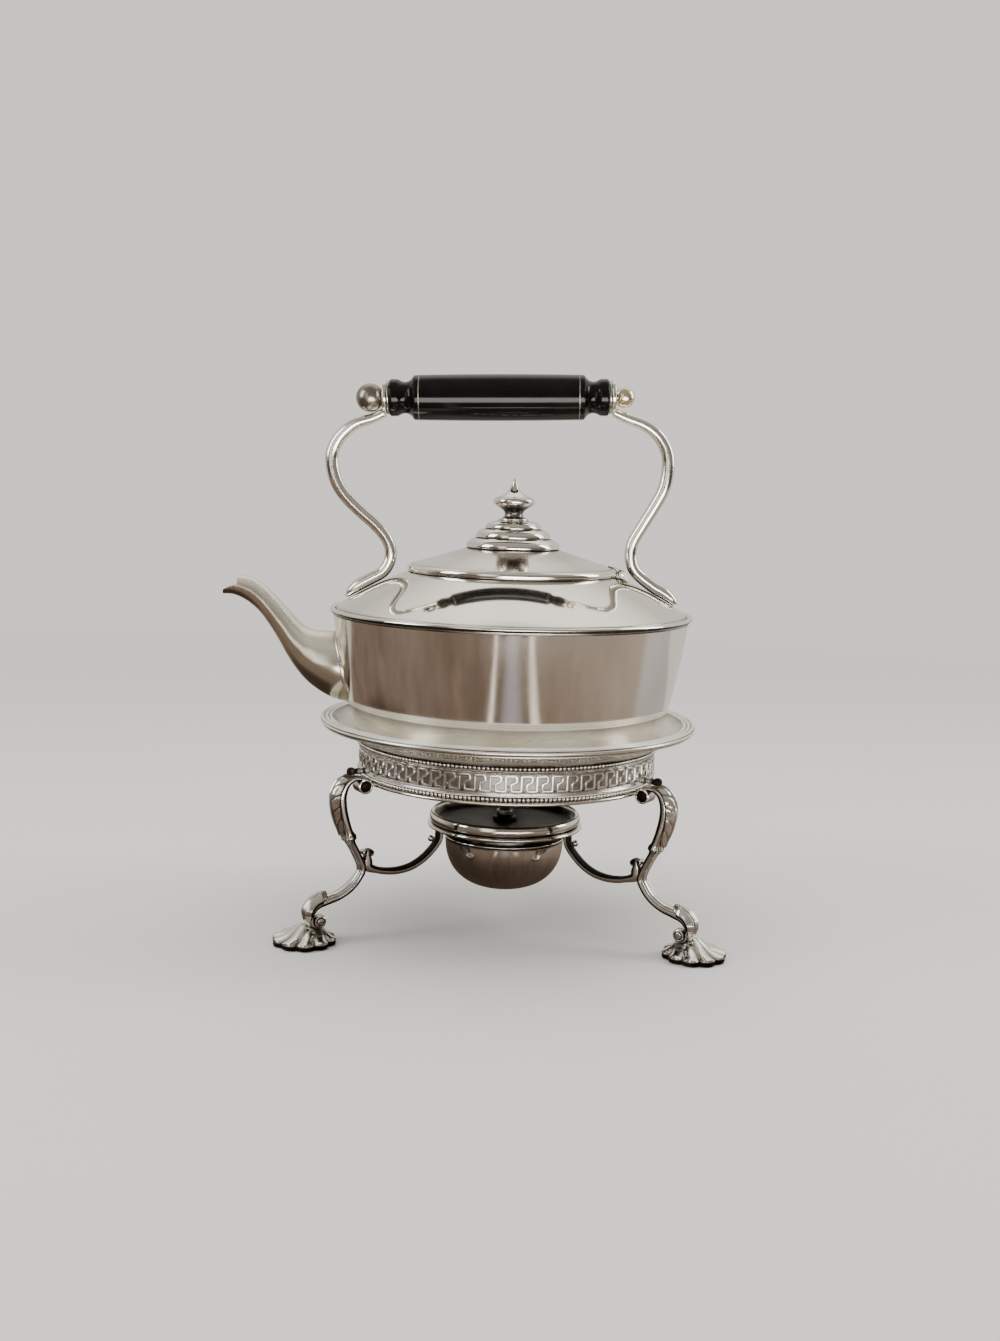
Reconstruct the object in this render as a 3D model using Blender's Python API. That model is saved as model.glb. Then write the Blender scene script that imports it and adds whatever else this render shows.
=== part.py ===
"""Spirit kettle on a stand: a plated kettle with a hinged lid, a three-legged stand and a burner.

All sizes are in metres, +Z is up and the handle runs along X with the spout at -X. The stand
is modelled about its own axis, the kettle about its base, the lid about its hinge pin and the
burner about the ring that carries it. The whole is then set with its footprint on the origin.
"""
import math

import bmesh
import bpy
from mathutils import Vector

# Clearances, sheet and number of sides
GAP = 0.0003
SHEET = 0.0012
MERGE_DISTANCE = 0.00001
CUT_OVERRUN = 0.004
LARGE_SIDES = 36
MEDIUM_SIDES = 28
SMALL_SIDES = 16
TINY_SIDES = 10

# Sections of straps and leaves: shares of the width and of the thickness, round the section
STRAP_SECTION_SHARES = ((-0.5, -0.28), (-0.5, 0.28), (0, 0.5), (0.5, 0.28), (0.5, -0.28), (0, -0.5))
LEAF_SECTION_SHARES = ((-0.5, -0.95), (-0.32, 0.1), (0, 0.5), (0.32, 0.1), (0.5, -0.95), (0, -0.5))

# Kettle's rounded base, which the stand is sized from
BASE_RADIUS = 0.0794
BASE_ROUND_WIDTH = 0.0054
BASE_ROUND_HEIGHT = 0.0039

# Stand: dished flange that the kettle sits in
LEDGE_HEIGHT = 0.0984
LEDGE_PLAY = 0.0025
LEDGE_WIDTH = 0.0075
LEDGE_OUTER_RADIUS = BASE_RADIUS - BASE_ROUND_WIDTH + LEDGE_PLAY
LEDGE_INNER_RADIUS = LEDGE_OUTER_RADIUS - LEDGE_WIDTH
REED_COUNT = 3
REED_WIDTH = 0.0022
REED_HEIGHT = 0.0011
DISH_WIDTH = 0.0166
DISH_RISE = 0.0118
DISH_SHARES = ((0.12, 0.14), (0.34, 0.39), (0.64, 0.66))
FLANGE_RADIUS = LEDGE_OUTER_RADIUS + DISH_WIDTH + REED_COUNT * REED_WIDTH
RIM_THICKNESS = 0.0043
NECK_OVERHANG = 0.0041
FLANGE_NECK_RADIUS = LEDGE_OUTER_RADIUS + NECK_OVERHANG

# Stand: key band with its bead rings
BAND_INSET = 0.0018
BAND_RADIUS = FLANGE_NECK_RADIUS - BAND_INSET
BAND_WALL = 0.0016
BAND_HEIGHT = 0.0128
BAND_LIP = 0.0006
BAND_LIP_HEIGHT = 0.0010
BEAD_RING_HEIGHT = 0.0020
BEAD_RING_WIDTH = 0.0016
BASE_RING_HEIGHT = 0.0020
BASE_RING_OVERHANG = 0.0014
BASE_RING_RADIUS = BAND_RADIUS + BASE_RING_OVERHANG

# Stand: legs, struts, holder ring and feet
LEG_ANGLES = {"front_left": 208.6, "front_right": 328.6, "back": 88.6}
LEG_CIRCLE_RADIUS = 0.1145
SCROLL_RADIUS = 0.0040
SCROLL_TURN_RADIUS = 0.0031
SCROLL_END_RADIUS = 0.0010
SCROLL_DROP = 0.0005
LEG_THICKNESS = 0.0048
LEG_WIDTH = 0.0090
STEM_REACH = 0.0034
STEM_RADIUS = BASE_RING_RADIUS + STEM_REACH
STEM_THICKNESS = 0.0030
KNEE_START_RADIUS = 0.0041
KNEE_END_RADIUS = 0.0013
KNEE_INSET = 0.0073
SCROLL_STRAP = 0.0018
STRUT_THICKNESS = 0.0036
STRUT_WIDTH = 0.0050
STRUT_CURL_RADIUS = 0.0020
STRUT_CURL_END_RADIUS = 0.0007
HOLDER_RADIUS = 0.0418
HOLDER_BORE = 0.0365
HOLDER_TOP_HEIGHT = 0.0538
HOLDER_THICKNESS = 0.0022
FOOT_RADIUS = 0.0164
FOOT_RIM_HEIGHT = 0.0031
FOOT_HEIGHT = 0.0066
FOOT_SEAT_RADIUS = 0.0026
FOOT_LOBES = 10
FOOT_LOBE_DEPTH = 0.0009

# Leg outline: share of the way out to the foot, of the height to the scroll, of thickness, width
LEG_UPPER_SHARES = (
    (0.161, 1.046, 0.62, 1.00),
    (0.300, 1.015, 0.88, 1.00),
    (0.375, 0.950, 1.00, 1.00),
    (0.375, 0.872, 1.00, 1.00),
    (0.325, 0.786, 0.98, 0.98),
    (0.245, 0.699, 0.90, 0.90),
    (0.204, 0.655, 1.10, 1.00),
    (0.188, 0.638, 0.76, 0.76),
    (0.080, 0.557, 0.62, 0.66),
)
LEG_LOWER_SHARES = (
    (0.045, 0.390, 0.62, 0.66),
    (0.190, 0.332, 0.60, 0.72),
    (0.390, 0.288, 0.60, 0.76),
    (0.590, 0.267, 0.74, 0.84),
    (0.790, 0.243, 0.80, 0.84),
    (0.893, 0.196, 0.66, 0.80),
)
STEM_HEIGHT_SHARE = 0.455
STEM_WIDTH_SHARE = 0.64
SCROLL_WIDTH_SHARE = 0.84
KNEE_WIDTH_SHARE = 0.74

# Leaves laid over a leg: stations of the leg before one starts, and shares of thickness and width
LEAF_SHELL = 0.0022
UPPER_LEAF_LIFT = 0.0016
UPPER_LEAF_SKIP_COUNT = 2
UPPER_LEAF_SHARES = (
    (0.45, 0.70), (0.60, 0.90), (0.85, 1.06), (1.00, 1.14), (1.08, 1.18), (1.08, 1.16),
    (1.00, 1.08), (0.86, 0.92), (0.60, 0.60),
)
KNEE_LEAF_SKIP_COUNT = 28
KNEE_LEAF_SHARES = (
    (0.45, 0.60), (0.85, 0.90), (1.00, 1.00), (1.08, 1.02), (1.05, 1.00), (0.90, 0.92), (0.55, 0.72),
)
SPUR_LENGTH = 0.0122
SPUR_RADIUS = 0.0014
SPUR_TIP_RADIUS = 0.0004
SPUR_RISE = 0.0039

# Strut outline: share of the way in from its heel to the ring, and of the rise to the ring
STRUT_SHARES = (
    (0.115, -0.140),
    (0.270, -0.230),
    (0.430, -0.240),
    (0.600, -0.150),
    (0.760, 0.075),
    (0.895, 0.390),
    (0.985, 0.710),
)
STRUT_CURL_RISE = 0.0088
STRUT_SHOULDER_SHARE = 0.50

# Shell foot: share of the radius, of the height above the rim, and of the slide to the seat
FOOT_SHARES = ((0.90, 0.10, 0.06), (0.66, 0.42, 0.34), (0.42, 0.84, 0.66))

# Kettle body, measured from its flat base
WALL_TOP_RADIUS = 0.0940
WALL_TOP_HEIGHT = 0.0673
WALL_SHARES = ((0.137, 0.070), (0.356, 0.228), (0.562, 0.422), (0.801, 0.701))
BEAD_RADIUS = 0.0012
BEAD_SIDES = 5
SHOULDER_PITCH = math.radians(27.4)
MOUTH_RADIUS = 0.0526
COLLAR_WALL = 0.0010
COLLAR_DEPTH = 0.0060

# Spout: places of the under and upper edges from the root at the wall, and half widths
SPOUT_ROOT_RADIUS = 0.0894
SPOUT_REACH = 0.0645
SPOUT_ROOT_HEIGHT = 0.0188
SPOUT_RISE = 0.0650
SPOUT_HALF_WIDTH = 0.0155
SPOUT_WALL = 0.0011
SPOUT_SIDES = 16
SPOUT_ROOT_SINK = 0.0100
SPOUT_MOUTH_CUT_SHARE = 0.858
SPOUT_LIP_SHARE = 0.930
SPOUT_TIP_SHARE = 0.872
FLOW_HOLE_RADIUS = 0.0090
FLOW_HOLE_HEIGHT = 0.0375
SPOUT_SHARES = (
    (0.000, 0.000, 0.087, 0.567, 1.00),
    (0.141, 0.052, 0.210, 0.571, 0.94),
    (0.273, 0.141, 0.297, 0.595, 0.83),
    (0.374, 0.247, 0.363, 0.650, 0.72),
    (0.457, 0.366, 0.429, 0.720, 0.63),
    (0.531, 0.495, 0.497, 0.792, 0.55),
    (0.602, 0.603, 0.576, 0.870, 0.50),
    (0.686, 0.711, 0.655, 0.938, 0.45),
    (0.786, 0.795, 0.739, 0.986, 0.42),
    (0.894, 0.844, 0.840, 1.004, 0.40),
    (0.988, 0.850, 0.950, 1.000, 0.37),
)

# Handle
GRIP_HEIGHT = 0.1808
GRIP_OFFSET = -0.0095
GRIP_TILT = math.radians(1.7)
GRIP_LENGTH = 0.1142
GRIP_RADIUS = 0.0121
GRIP_END_SHARES = (
    (0.40, 0.99), (0.73, 0.965), (0.776, 0.95), (0.815, 0.74), (0.855, 0.675),
    (0.89, 0.70), (0.922, 0.79), (0.985, 0.80), (1.00, 0.76),
)
INLAY_SHARE = 0.73
INLAY_WIDTH = 0.0010
INLAY_DEPTH = 0.0012
TIE_ROD_RADIUS = 0.0018
WASHER_THICKNESS = 0.0010
WASHER_RADIUS = 0.0087
PLATE_THICKNESS = 0.0020
PLATE_RADIUS = 0.0088
LEFT_NUT_RADIUS = 0.0074
LEFT_NUT_SEAT_SHARE = 0.87
RIGHT_NUT_RADIUS = 0.0055
RIGHT_NUT_SEAT_SHARE = 0.78
NUT_HOLE_SHARE = 1.05
ARM_RADIUS = 0.0032
ARM_END_RADIUS = 0.0024
ARM_BEND_RADIUS = 0.0027
ARM_BEND_REACH = 0.0066
ARM_BEND_DROP = 0.0018
ARM_SIDES = 8
ARM_TIP_INSET = 0.0035
ARM_FOOT_LENGTH = 0.0160
ARM_TIP_RADIUS = WALL_TOP_RADIUS - ARM_TIP_INSET
ARM_HEEL_RADIUS = ARM_TIP_RADIUS - ARM_FOOT_LENGTH
ARM_TIP_SHARE = 0.18
ARM_INSTEP_SHARE = 0.86
LEFT_ARM_SHARES = (
    (0.754, 0.149, 1.00), (0.719, 0.201, 1.00), (0.716, 0.261, 1.00), (0.749, 0.320, 1.00),
    (0.812, 0.378, 1.00), (0.894, 0.435, 1.00), (0.976, 0.500, 1.04), (1.035, 0.572, 1.08),
    (1.063, 0.653, 1.10), (1.060, 0.726, 1.08), (1.017, 0.793, 1.04), (0.938, 0.853, 0.97),
)
RIGHT_ARM_SHARES = (
    (0.723, 0.180, 1.00), (0.691, 0.244, 1.00), (0.696, 0.317, 1.00), (0.746, 0.398, 1.00),
    (0.809, 0.489, 1.02), (0.866, 0.585, 1.06), (0.885, 0.681, 1.08), (0.876, 0.760, 1.06),
    (0.830, 0.831, 1.02), (0.750, 0.884, 0.97),
)

# Lid and its hinge
LID_RADIUS = 0.05545
LID_RIM_HEIGHT = 0.0019
LID_PITCH = math.radians(19.4)
LID_RIM_WIDTH = 0.0013
LID_HOLE_RADIUS = 0.0180
BEZEL_CLEARANCE = 0.0010
BEZEL_DEPTH = 0.0060
DOME_RADIUS = 0.0246
DOME_HEIGHT = 0.0144
DOME_OUTER_SHARES = (
    (1.010, 0.085), (0.955, 0.235), (0.825, 0.345), (0.797, 0.385), (0.800, 0.475),
    (0.745, 0.610), (0.612, 0.695), (0.585, 0.730), (0.587, 0.810), (0.530, 0.920),
    (0.370, 1.000),
)
DOME_INNER_SHARES = ((0.170, 0.895), (0.500, 0.740), (0.690, 0.480), (0.850, 0.220))
DOME_FOOT_SHARE = 0.890
STUD_RADIUS = 0.0019
FINIAL_HEIGHT = 0.0222
FINIAL_RADIUS = 0.0111
FINIAL_SHARES = (
    (0.720, 0.000), (0.730, 0.050), (0.590, 0.070), (0.480, 0.150), (0.440, 0.225),
    (0.530, 0.300), (0.720, 0.410), (0.960, 0.490), (1.000, 0.530), (0.960, 0.560),
    (0.560, 0.640), (0.310, 0.730), (0.160, 0.840), (0.060, 0.960),
)
FINIAL_NUT_RADIUS = 0.0040
FINIAL_NUT_HEIGHT = 0.0022
KNUCKLE_RADIUS = 0.0019
KNUCKLE_CLEARANCE = 0.00055
KNUCKLE_LENGTH = 0.0042
PIN_RADIUS = 0.0008
LUG_REACH = 0.0034
LUG_TOE = 0.0010
LEAF_REACH = 0.0060
LEAF_THICKNESS = 0.0009

# Burner, measured from the top of the holder ring
PAN_RADIUS = 0.0403
PAN_HEIGHT = 0.0057
PAN_LIP = 0.0022
PAN_FLOOR = 0.0011
PAN_BEAD = 0.0009
BOWL_RADIUS = 0.0328
BOWL_NECK_RADIUS = 0.0300
BOWL_NECK_HEIGHT = 0.0078
BOWL_DEPTH = 0.0282
BOWL_LIP = 0.0009
WICK_RADIUS = 0.0030
WICK_TUBE_WALL = 0.0010
WICK_TUBE_DEPTH = 0.0120
WICK_TUBE_RISE = 0.0004
WICK_COLLAR_WIDTH = 0.0022
WICK_TIP = 0.0012
WICK_CLEARANCE = 0.0020


def finish(name, colour, roughness, metallic):
    """Makes a material with one Principled BSDF."""
    material = bpy.data.materials.new(name)
    material.use_nodes = True
    shader = material.node_tree.nodes["Principled BSDF"]
    shader.inputs["Base Color"].default_value = (*colour, 1.0)
    shader.inputs["Roughness"].default_value = roughness
    shader.inputs["Metallic"].default_value = metallic
    material.diffuse_color = (*colour, 1.0)
    return material


def empty(name, place, parent=None, rotation=(0, 0, 0)):
    """Adds an empty that carries the pieces of one sub-assembly."""
    carrier = bpy.data.objects.new(name, None)
    bpy.context.collection.objects.link(carrier)
    carrier.location = place
    carrier.rotation_euler = rotation
    carrier.parent = parent
    return carrier


def add_piece(name, mesh, material, parent, place=(0, 0, 0), rotation=(0, 0, 0)):
    """Links a mesh as one named piece with smooth shading broken at its sharp edges."""
    mesh.materials.append(material)
    mesh.shade_smooth()
    mesh.set_sharp_from_angle(angle=math.radians(35))
    piece = bpy.data.objects.new(name, mesh)
    bpy.context.collection.objects.link(piece)
    piece.location = place
    piece.rotation_euler = rotation
    piece.parent = parent
    return piece


def cutter_of(piece):
    """Marks a piece as a guide for a cut, so that it is no part of the object."""
    piece.hide_render = True
    piece.display_type = "WIRE"
    return piece


def combine(piece, other, operation):
    """Cuts or joins a piece with another solid."""
    modifier = piece.modifiers.new(operation.lower(), "BOOLEAN")
    modifier.operation = operation
    modifier.solver = "EXACT"
    modifier.object = other


def mesh_from(name, bm):
    """Turns a bmesh into a mesh with its faces pointing out."""
    bmesh.ops.remove_doubles(bm, verts=bm.verts, dist=MERGE_DISTANCE)
    bmesh.ops.recalc_face_normals(bm, faces=bm.faces)
    mesh = bpy.data.meshes.new(name)
    bm.to_mesh(mesh)
    bm.free()
    return mesh


def turned_mesh(name, outline, sides):
    """Spins a closed outline of (radius, height) points about the Z axis."""
    bm = bmesh.new()
    points = [bm.verts.new((radius, 0, height)) for radius, height in outline]
    for index, point in enumerate(points):
        before = points[index - 1]
        if point.co.x > 0 or before.co.x > 0:
            bm.edges.new((before, point))
    bmesh.ops.spin(
        bm,
        geom=bm.verts[:] + bm.edges[:],
        axis=(0, 0, 1),
        cent=(0, 0, 0),
        angle=math.tau,
        steps=sides,
        use_merge=True,
    )
    return mesh_from(name, bm)


def lofted_mesh(name, rings, hollow=False):
    """Skins rings of points. A solid gets end caps, a hollow one closes on its first ring."""
    bm = bmesh.new()
    rows = [[bm.verts.new(point) for point in ring] for ring in rings]
    pairs = list(zip(rows, rows[1:]))
    if hollow:
        pairs.append((rows[-1], rows[0]))
    for first, second in pairs:
        for index, corner in enumerate(first):
            bm.faces.new((first[index - 1], corner, second[index], second[index - 1]))
    if not hollow:
        bm.faces.new(rows[0])
        bm.faces.new(rows[-1])
    return mesh_from(name, bm)


def prism_mesh(name, outline, low, high):
    """Extrudes an outline of (x, z) points along Y from low to high."""
    rings = [[(x, y, z) for x, z in outline] for y in (low, high)]
    return lofted_mesh(name, rings)


def arc(centre, radii, start, end, steps):
    """Points on an elliptic arc in a plane, angles in degrees."""
    angles = [math.radians(start + (end - start) * step / steps) for step in range(steps + 1)]
    return [
        (centre[0] + radii[0] * math.cos(angle), centre[1] + radii[1] * math.sin(angle))
        for angle in angles
    ]


def smooth_path(points, steps):
    """A Catmull-Rom curve through points of any length, with equal steps between them."""
    knots = [Vector(point) for point in points]
    knots.insert(0, knots[0] * 2 - knots[1])
    knots.append(knots[-1] * 2 - knots[-2])
    path = []
    for a, b, c, d in zip(knots, knots[1:], knots[2:], knots[3:]):
        for step in range(steps):
            t = step / steps
            path.append((
                b * 2
                + (c - a) * t
                + (a * 2 - b * 5 + c * 4 - d) * t ** 2
                + (b * 3 - a - c * 3 + d) * t ** 3
            ) / 2)
    path.append(knots[-2])
    return path


def spiral(centre, radii, strap, width, start, end, steps):
    """Stations of a strap that winds about a centre, as (x, z, thickness, width)."""
    stations = []
    for step in range(steps + 1):
        share = step / steps
        angle = math.radians(start + (end - start) * share)
        radius = radii[0] + (radii[1] - radii[0]) * share
        thickness = strap[0] + (strap[1] - strap[0]) * share
        stations.append((
            centre[0] + radius * math.cos(angle),
            centre[1] + radius * math.sin(angle),
            thickness,
            width,
        ))
    return stations


def strap_rings(stations, section_shares=STRAP_SECTION_SHARES):
    """Sections, ridged along the middle, along stations of (x, z, thickness, width)."""
    rings = []
    for index, (x, z, thickness, width) in enumerate(stations):
        before = stations[max(index - 1, 0)]
        after = stations[min(index + 1, len(stations) - 1)]
        along = Vector((after[0] - before[0], 0, after[1] - before[1])).normalized()
        across = Vector((-along.z, 0, along.x))
        centre = Vector((x, 0, z))
        rings.append([
            centre + across * (thickness * rise) + Vector((0, width * side, 0))
            for side, rise in section_shares
        ])
    return rings


def rod_rings(stations, sides):
    """Round sections along stations of (x, z, radius) in the XZ plane."""
    rings = []
    for index, (x, z, radius) in enumerate(stations):
        before = stations[max(index - 1, 0)]
        after = stations[min(index + 1, len(stations) - 1)]
        along = Vector((after[0] - before[0], 0, after[1] - before[1])).normalized()
        across = Vector((-along.z, 0, along.x))
        centre = Vector((x, 0, z))
        angles = [math.tau * (step + 0.5) / sides for step in range(sides)]
        rings.append([
            centre + across * (radius * math.cos(angle)) + Vector((0, radius * math.sin(angle), 0))
            for angle in angles
        ])
    return rings


# Stand

def flange_outline():
    """Section of the dished flange with its reeded rim and the spigot that enters the band."""
    reeds_start = LEDGE_OUTER_RADIUS + DISH_WIDTH
    reed_valley = LEDGE_HEIGHT + DISH_RISE
    top = [(LEDGE_INNER_RADIUS, LEDGE_HEIGHT), (LEDGE_OUTER_RADIUS, LEDGE_HEIGHT)]
    top += [
        (LEDGE_OUTER_RADIUS + across * DISH_WIDTH, LEDGE_HEIGHT + rise * DISH_RISE)
        for across, rise in DISH_SHARES
    ]
    for reed in range(REED_COUNT):
        start = reeds_start + reed * REED_WIDTH
        top.append((start, reed_valley))
        top.append((start + REED_WIDTH / 2, reed_valley + REED_HEIGHT))
    rim_bottom = reed_valley + REED_HEIGHT - RIM_THICKNESS
    top.append((FLANGE_RADIUS, reed_valley))
    top.append((FLANGE_RADIUS - REED_WIDTH / 2, rim_bottom))
    cove_height = rim_bottom - neck_height()
    cove = [
        (FLANGE_NECK_RADIUS + across * DISH_WIDTH, neck_height() + rise * cove_height)
        for across, rise in reversed(((0, 0.12), *DISH_SHARES))
    ]
    bottom = [
        (FLANGE_NECK_RADIUS, neck_height()),
        (bead_ring_inner_radius() - GAP, neck_height()),
        (bead_ring_inner_radius() - GAP, LEDGE_HEIGHT - SHEET),
        (LEDGE_INNER_RADIUS, LEDGE_HEIGHT - SHEET),
    ]
    return top + cove + bottom


def neck_height():
    """Height of the flange's shoulder over the upper bead ring."""
    return band_top_height() + GAP + BEAD_RING_HEIGHT + GAP


def band_top_height():
    """Top of the key band, under the flange's ledge."""
    return LEDGE_HEIGHT - SHEET - GAP


def band_bottom_height():
    """Bottom of the key band, over the lower bead ring."""
    return band_top_height() - BAND_HEIGHT


def base_ring_height():
    """Underside of the stand's lowest ring."""
    return band_bottom_height() - GAP - BEAD_RING_HEIGHT - GAP - BASE_RING_HEIGHT


def bead_ring_inner_radius():
    """Inner radius of both bead rings."""
    return FLANGE_NECK_RADIUS - BEAD_RING_WIDTH


def bead_ring_outline(bottom, outer):
    """Section of a bead ring, flat inside and half round outside."""
    inner = bead_ring_inner_radius()
    middle = bottom + BEAD_RING_HEIGHT / 2
    bulge = BEAD_RING_HEIGHT / 2
    half_round = arc((outer - bulge, middle), (bulge, bulge), 90, -90, 2)
    return [(inner, bottom), (inner, bottom + BEAD_RING_HEIGHT), *half_round]


def band_outline():
    """Section of the key band with a raised lip along both edges."""
    top = band_top_height()
    bottom = band_bottom_height()
    inner = BAND_RADIUS - BAND_WALL
    lip = BAND_RADIUS + BAND_LIP
    return [
        (inner, bottom),
        (inner, top),
        (lip, top),
        (lip, top - BAND_LIP_HEIGHT),
        (BAND_RADIUS, top - BAND_LIP_HEIGHT - BAND_LIP),
        (BAND_RADIUS, bottom + BAND_LIP_HEIGHT + BAND_LIP),
        (lip, bottom + BAND_LIP_HEIGHT),
        (lip, bottom),
    ]


def base_ring_outline():
    """Section of the lowest ring."""
    bottom = base_ring_height()
    bulge = BASE_RING_HEIGHT / 2
    half_round = arc((BASE_RING_RADIUS - bulge, bottom + bulge), (bulge, bulge), 90, -90, 2)
    inner = BAND_RADIUS - BAND_WALL
    return [(inner, bottom), (inner, bottom + BASE_RING_HEIGHT), *half_round]


def scroll_centre():
    """Centre of a leg's upper scroll, which bears on the lowest ring."""
    return (BASE_RING_RADIUS + GAP + SCROLL_RADIUS, base_ring_height() + SCROLL_DROP)


def leg_point(out_share, height_share):
    """A place on a leg, by its shares of the way out to the foot and up to the scroll."""
    start, height = scroll_centre()
    return (start + out_share * (LEG_CIRCLE_RADIUS - start), height_share * height)


def knee_centre():
    """Centre of the lower scroll, which stands on the foot's seat."""
    bottom_radius = KNEE_START_RADIUS + (KNEE_END_RADIUS - KNEE_START_RADIUS) / 4
    rise = FOOT_HEIGHT + GAP + bottom_radius + SCROLL_STRAP / 2
    return (LEG_CIRCLE_RADIUS - KNEE_INSET, rise)


def leg_sections():
    """Stations of a leg: its upper scroll, the length between the scrolls, its lower scroll."""
    width = LEG_WIDTH * SCROLL_WIDTH_SHARE
    straps = (SCROLL_STRAP, SCROLL_STRAP)
    radii = (SCROLL_TURN_RADIUS, SCROLL_END_RADIUS)
    upper_scroll = spiral(scroll_centre(), radii, straps, width, 90, 450, 9)
    upper_scroll.reverse()
    upper = [
        (*leg_point(out, up), thick * LEG_THICKNESS, wide * LEG_WIDTH)
        for out, up, thick, wide in LEG_UPPER_SHARES
    ]
    stem = (
        STEM_RADIUS,
        STEM_HEIGHT_SHARE * scroll_centre()[1],
        STEM_THICKNESS,
        STEM_WIDTH_SHARE * LEG_WIDTH,
    )
    lower = [
        (*leg_point(out, up), thick * LEG_THICKNESS, wide * LEG_WIDTH)
        for out, up, thick, wide in LEG_LOWER_SHARES
    ]
    knee_radii = (KNEE_START_RADIUS, KNEE_END_RADIUS)
    width = LEG_WIDTH * KNEE_WIDTH_SHARE
    lower_scroll = spiral(knee_centre(), knee_radii, straps, width, 0, -360, 9)
    middle = smooth_path([upper_scroll[-1], *upper, stem, *lower, lower_scroll[0]], 2)
    return upper_scroll[:-1], [tuple(station) for station in middle], lower_scroll[1:]


def leaf_stations(leg, skip_count, shares, tip_lift=0):
    """Stations of a leaf laid over the outer face of a leg, a clearance off it."""
    leaf = []
    for index, (thick, wide) in enumerate(shares, skip_count):
        x, z, leg_thickness, _ = leg[index]
        before = leg[index - 1]
        after = leg[min(index + 1, len(leg) - 1)]
        along = Vector((after[0] - before[0], after[1] - before[1])).normalized()
        thickness = thick * LEAF_SHELL
        out = leg_thickness / 2 + GAP + thickness / 2
        if index == skip_count + len(shares) - 1:
            out += tip_lift
        leaf.append((x - along.y * out, z + along.x * out, thickness, wide * LEG_WIDTH))
    return leaf


def spur_stations():
    """Centreline of the pointed spur that stands out of the key band over a leg."""
    start = BAND_RADIUS + GAP
    height = band_bottom_height() + SPUR_RISE
    return [
        (start, height, SPUR_RADIUS),
        (start + SPUR_LENGTH / 2, height, SPUR_RADIUS),
        (start + SPUR_LENGTH, height, SPUR_TIP_RADIUS),
    ]


def strut_stations():
    """Centreline of a strut from the curl at the leg, down and in to the holder ring."""
    heel_radius = STEM_RADIUS - STEM_THICKNESS / 2 - GAP - STRUT_THICKNESS / 2
    heel_height = STEM_HEIGHT_SHARE * scroll_centre()[1]
    ring_radius = (HOLDER_RADIUS + HOLDER_BORE) / 2
    ring_height = HOLDER_TOP_HEIGHT - HOLDER_THICKNESS - GAP
    run = ring_radius - heel_radius
    rise = ring_height - heel_height
    curl_centre = (heel_radius - STRUT_CURL_RADIUS, heel_height + STRUT_CURL_RISE)
    straps = (STRUT_THICKNESS / 2, STRUT_THICKNESS / 2)
    radii = (STRUT_CURL_RADIUS, STRUT_CURL_END_RADIUS)
    curl = spiral(curl_centre, radii, straps, STRUT_WIDTH, 0, 270, 6)
    curl.reverse()
    shoulder = (heel_radius, heel_height + STRUT_SHOULDER_SHARE * STRUT_CURL_RISE)
    sweep = [shoulder, (heel_radius, heel_height)]
    sweep += [(heel_radius + along * run, heel_height + up * rise) for along, up in STRUT_SHARES]
    sweep.append((ring_radius, ring_height))
    points = [curl[-1]] + [(x, z, STRUT_THICKNESS, STRUT_WIDTH) for x, z in sweep]
    return curl[:-1] + [tuple(station) for station in smooth_path(points, 1)]


def foot_rings():
    """Rings of a scallop-shell foot about its own centre, its seat slid towards the stand."""
    points = FOOT_LOBES * 2

    def ring(radius, height, slide, lobe_share):
        corners = []
        for step in range(points):
            angle = math.tau * step / points
            lobe = FOOT_LOBE_DEPTH * (math.cos(FOOT_LOBES * angle) - 1)
            reach = radius + lobe_share * lobe
            corners.append((slide + reach * math.cos(angle), reach * math.sin(angle), height))
        return corners

    hump = FOOT_HEIGHT - FOOT_RIM_HEIGHT
    rings = [ring(FOOT_RADIUS, 0, 0, 1), ring(FOOT_RADIUS, FOOT_RIM_HEIGHT, 0, 1)]
    for radius_share, height_share, slide_share in FOOT_SHARES:
        rings.append(ring(
            radius_share * FOOT_RADIUS,
            FOOT_RIM_HEIGHT + height_share * hump,
            -slide_share * KNEE_INSET,
            radius_share ** 2,
        ))
    rings.append(ring(FOOT_SEAT_RADIUS, FOOT_HEIGHT, -KNEE_INSET, 0))
    return rings


def holder_outline():
    """Section of the ring that carries the burner."""
    bottom = HOLDER_TOP_HEIGHT - HOLDER_THICKNESS
    bulge = HOLDER_THICKNESS / 2
    half_round = arc((HOLDER_RADIUS - bulge, bottom + bulge), (bulge, bulge), 90, -90, 2)
    return [(HOLDER_BORE, bottom), (HOLDER_BORE, HOLDER_TOP_HEIGHT), *half_round]


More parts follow.
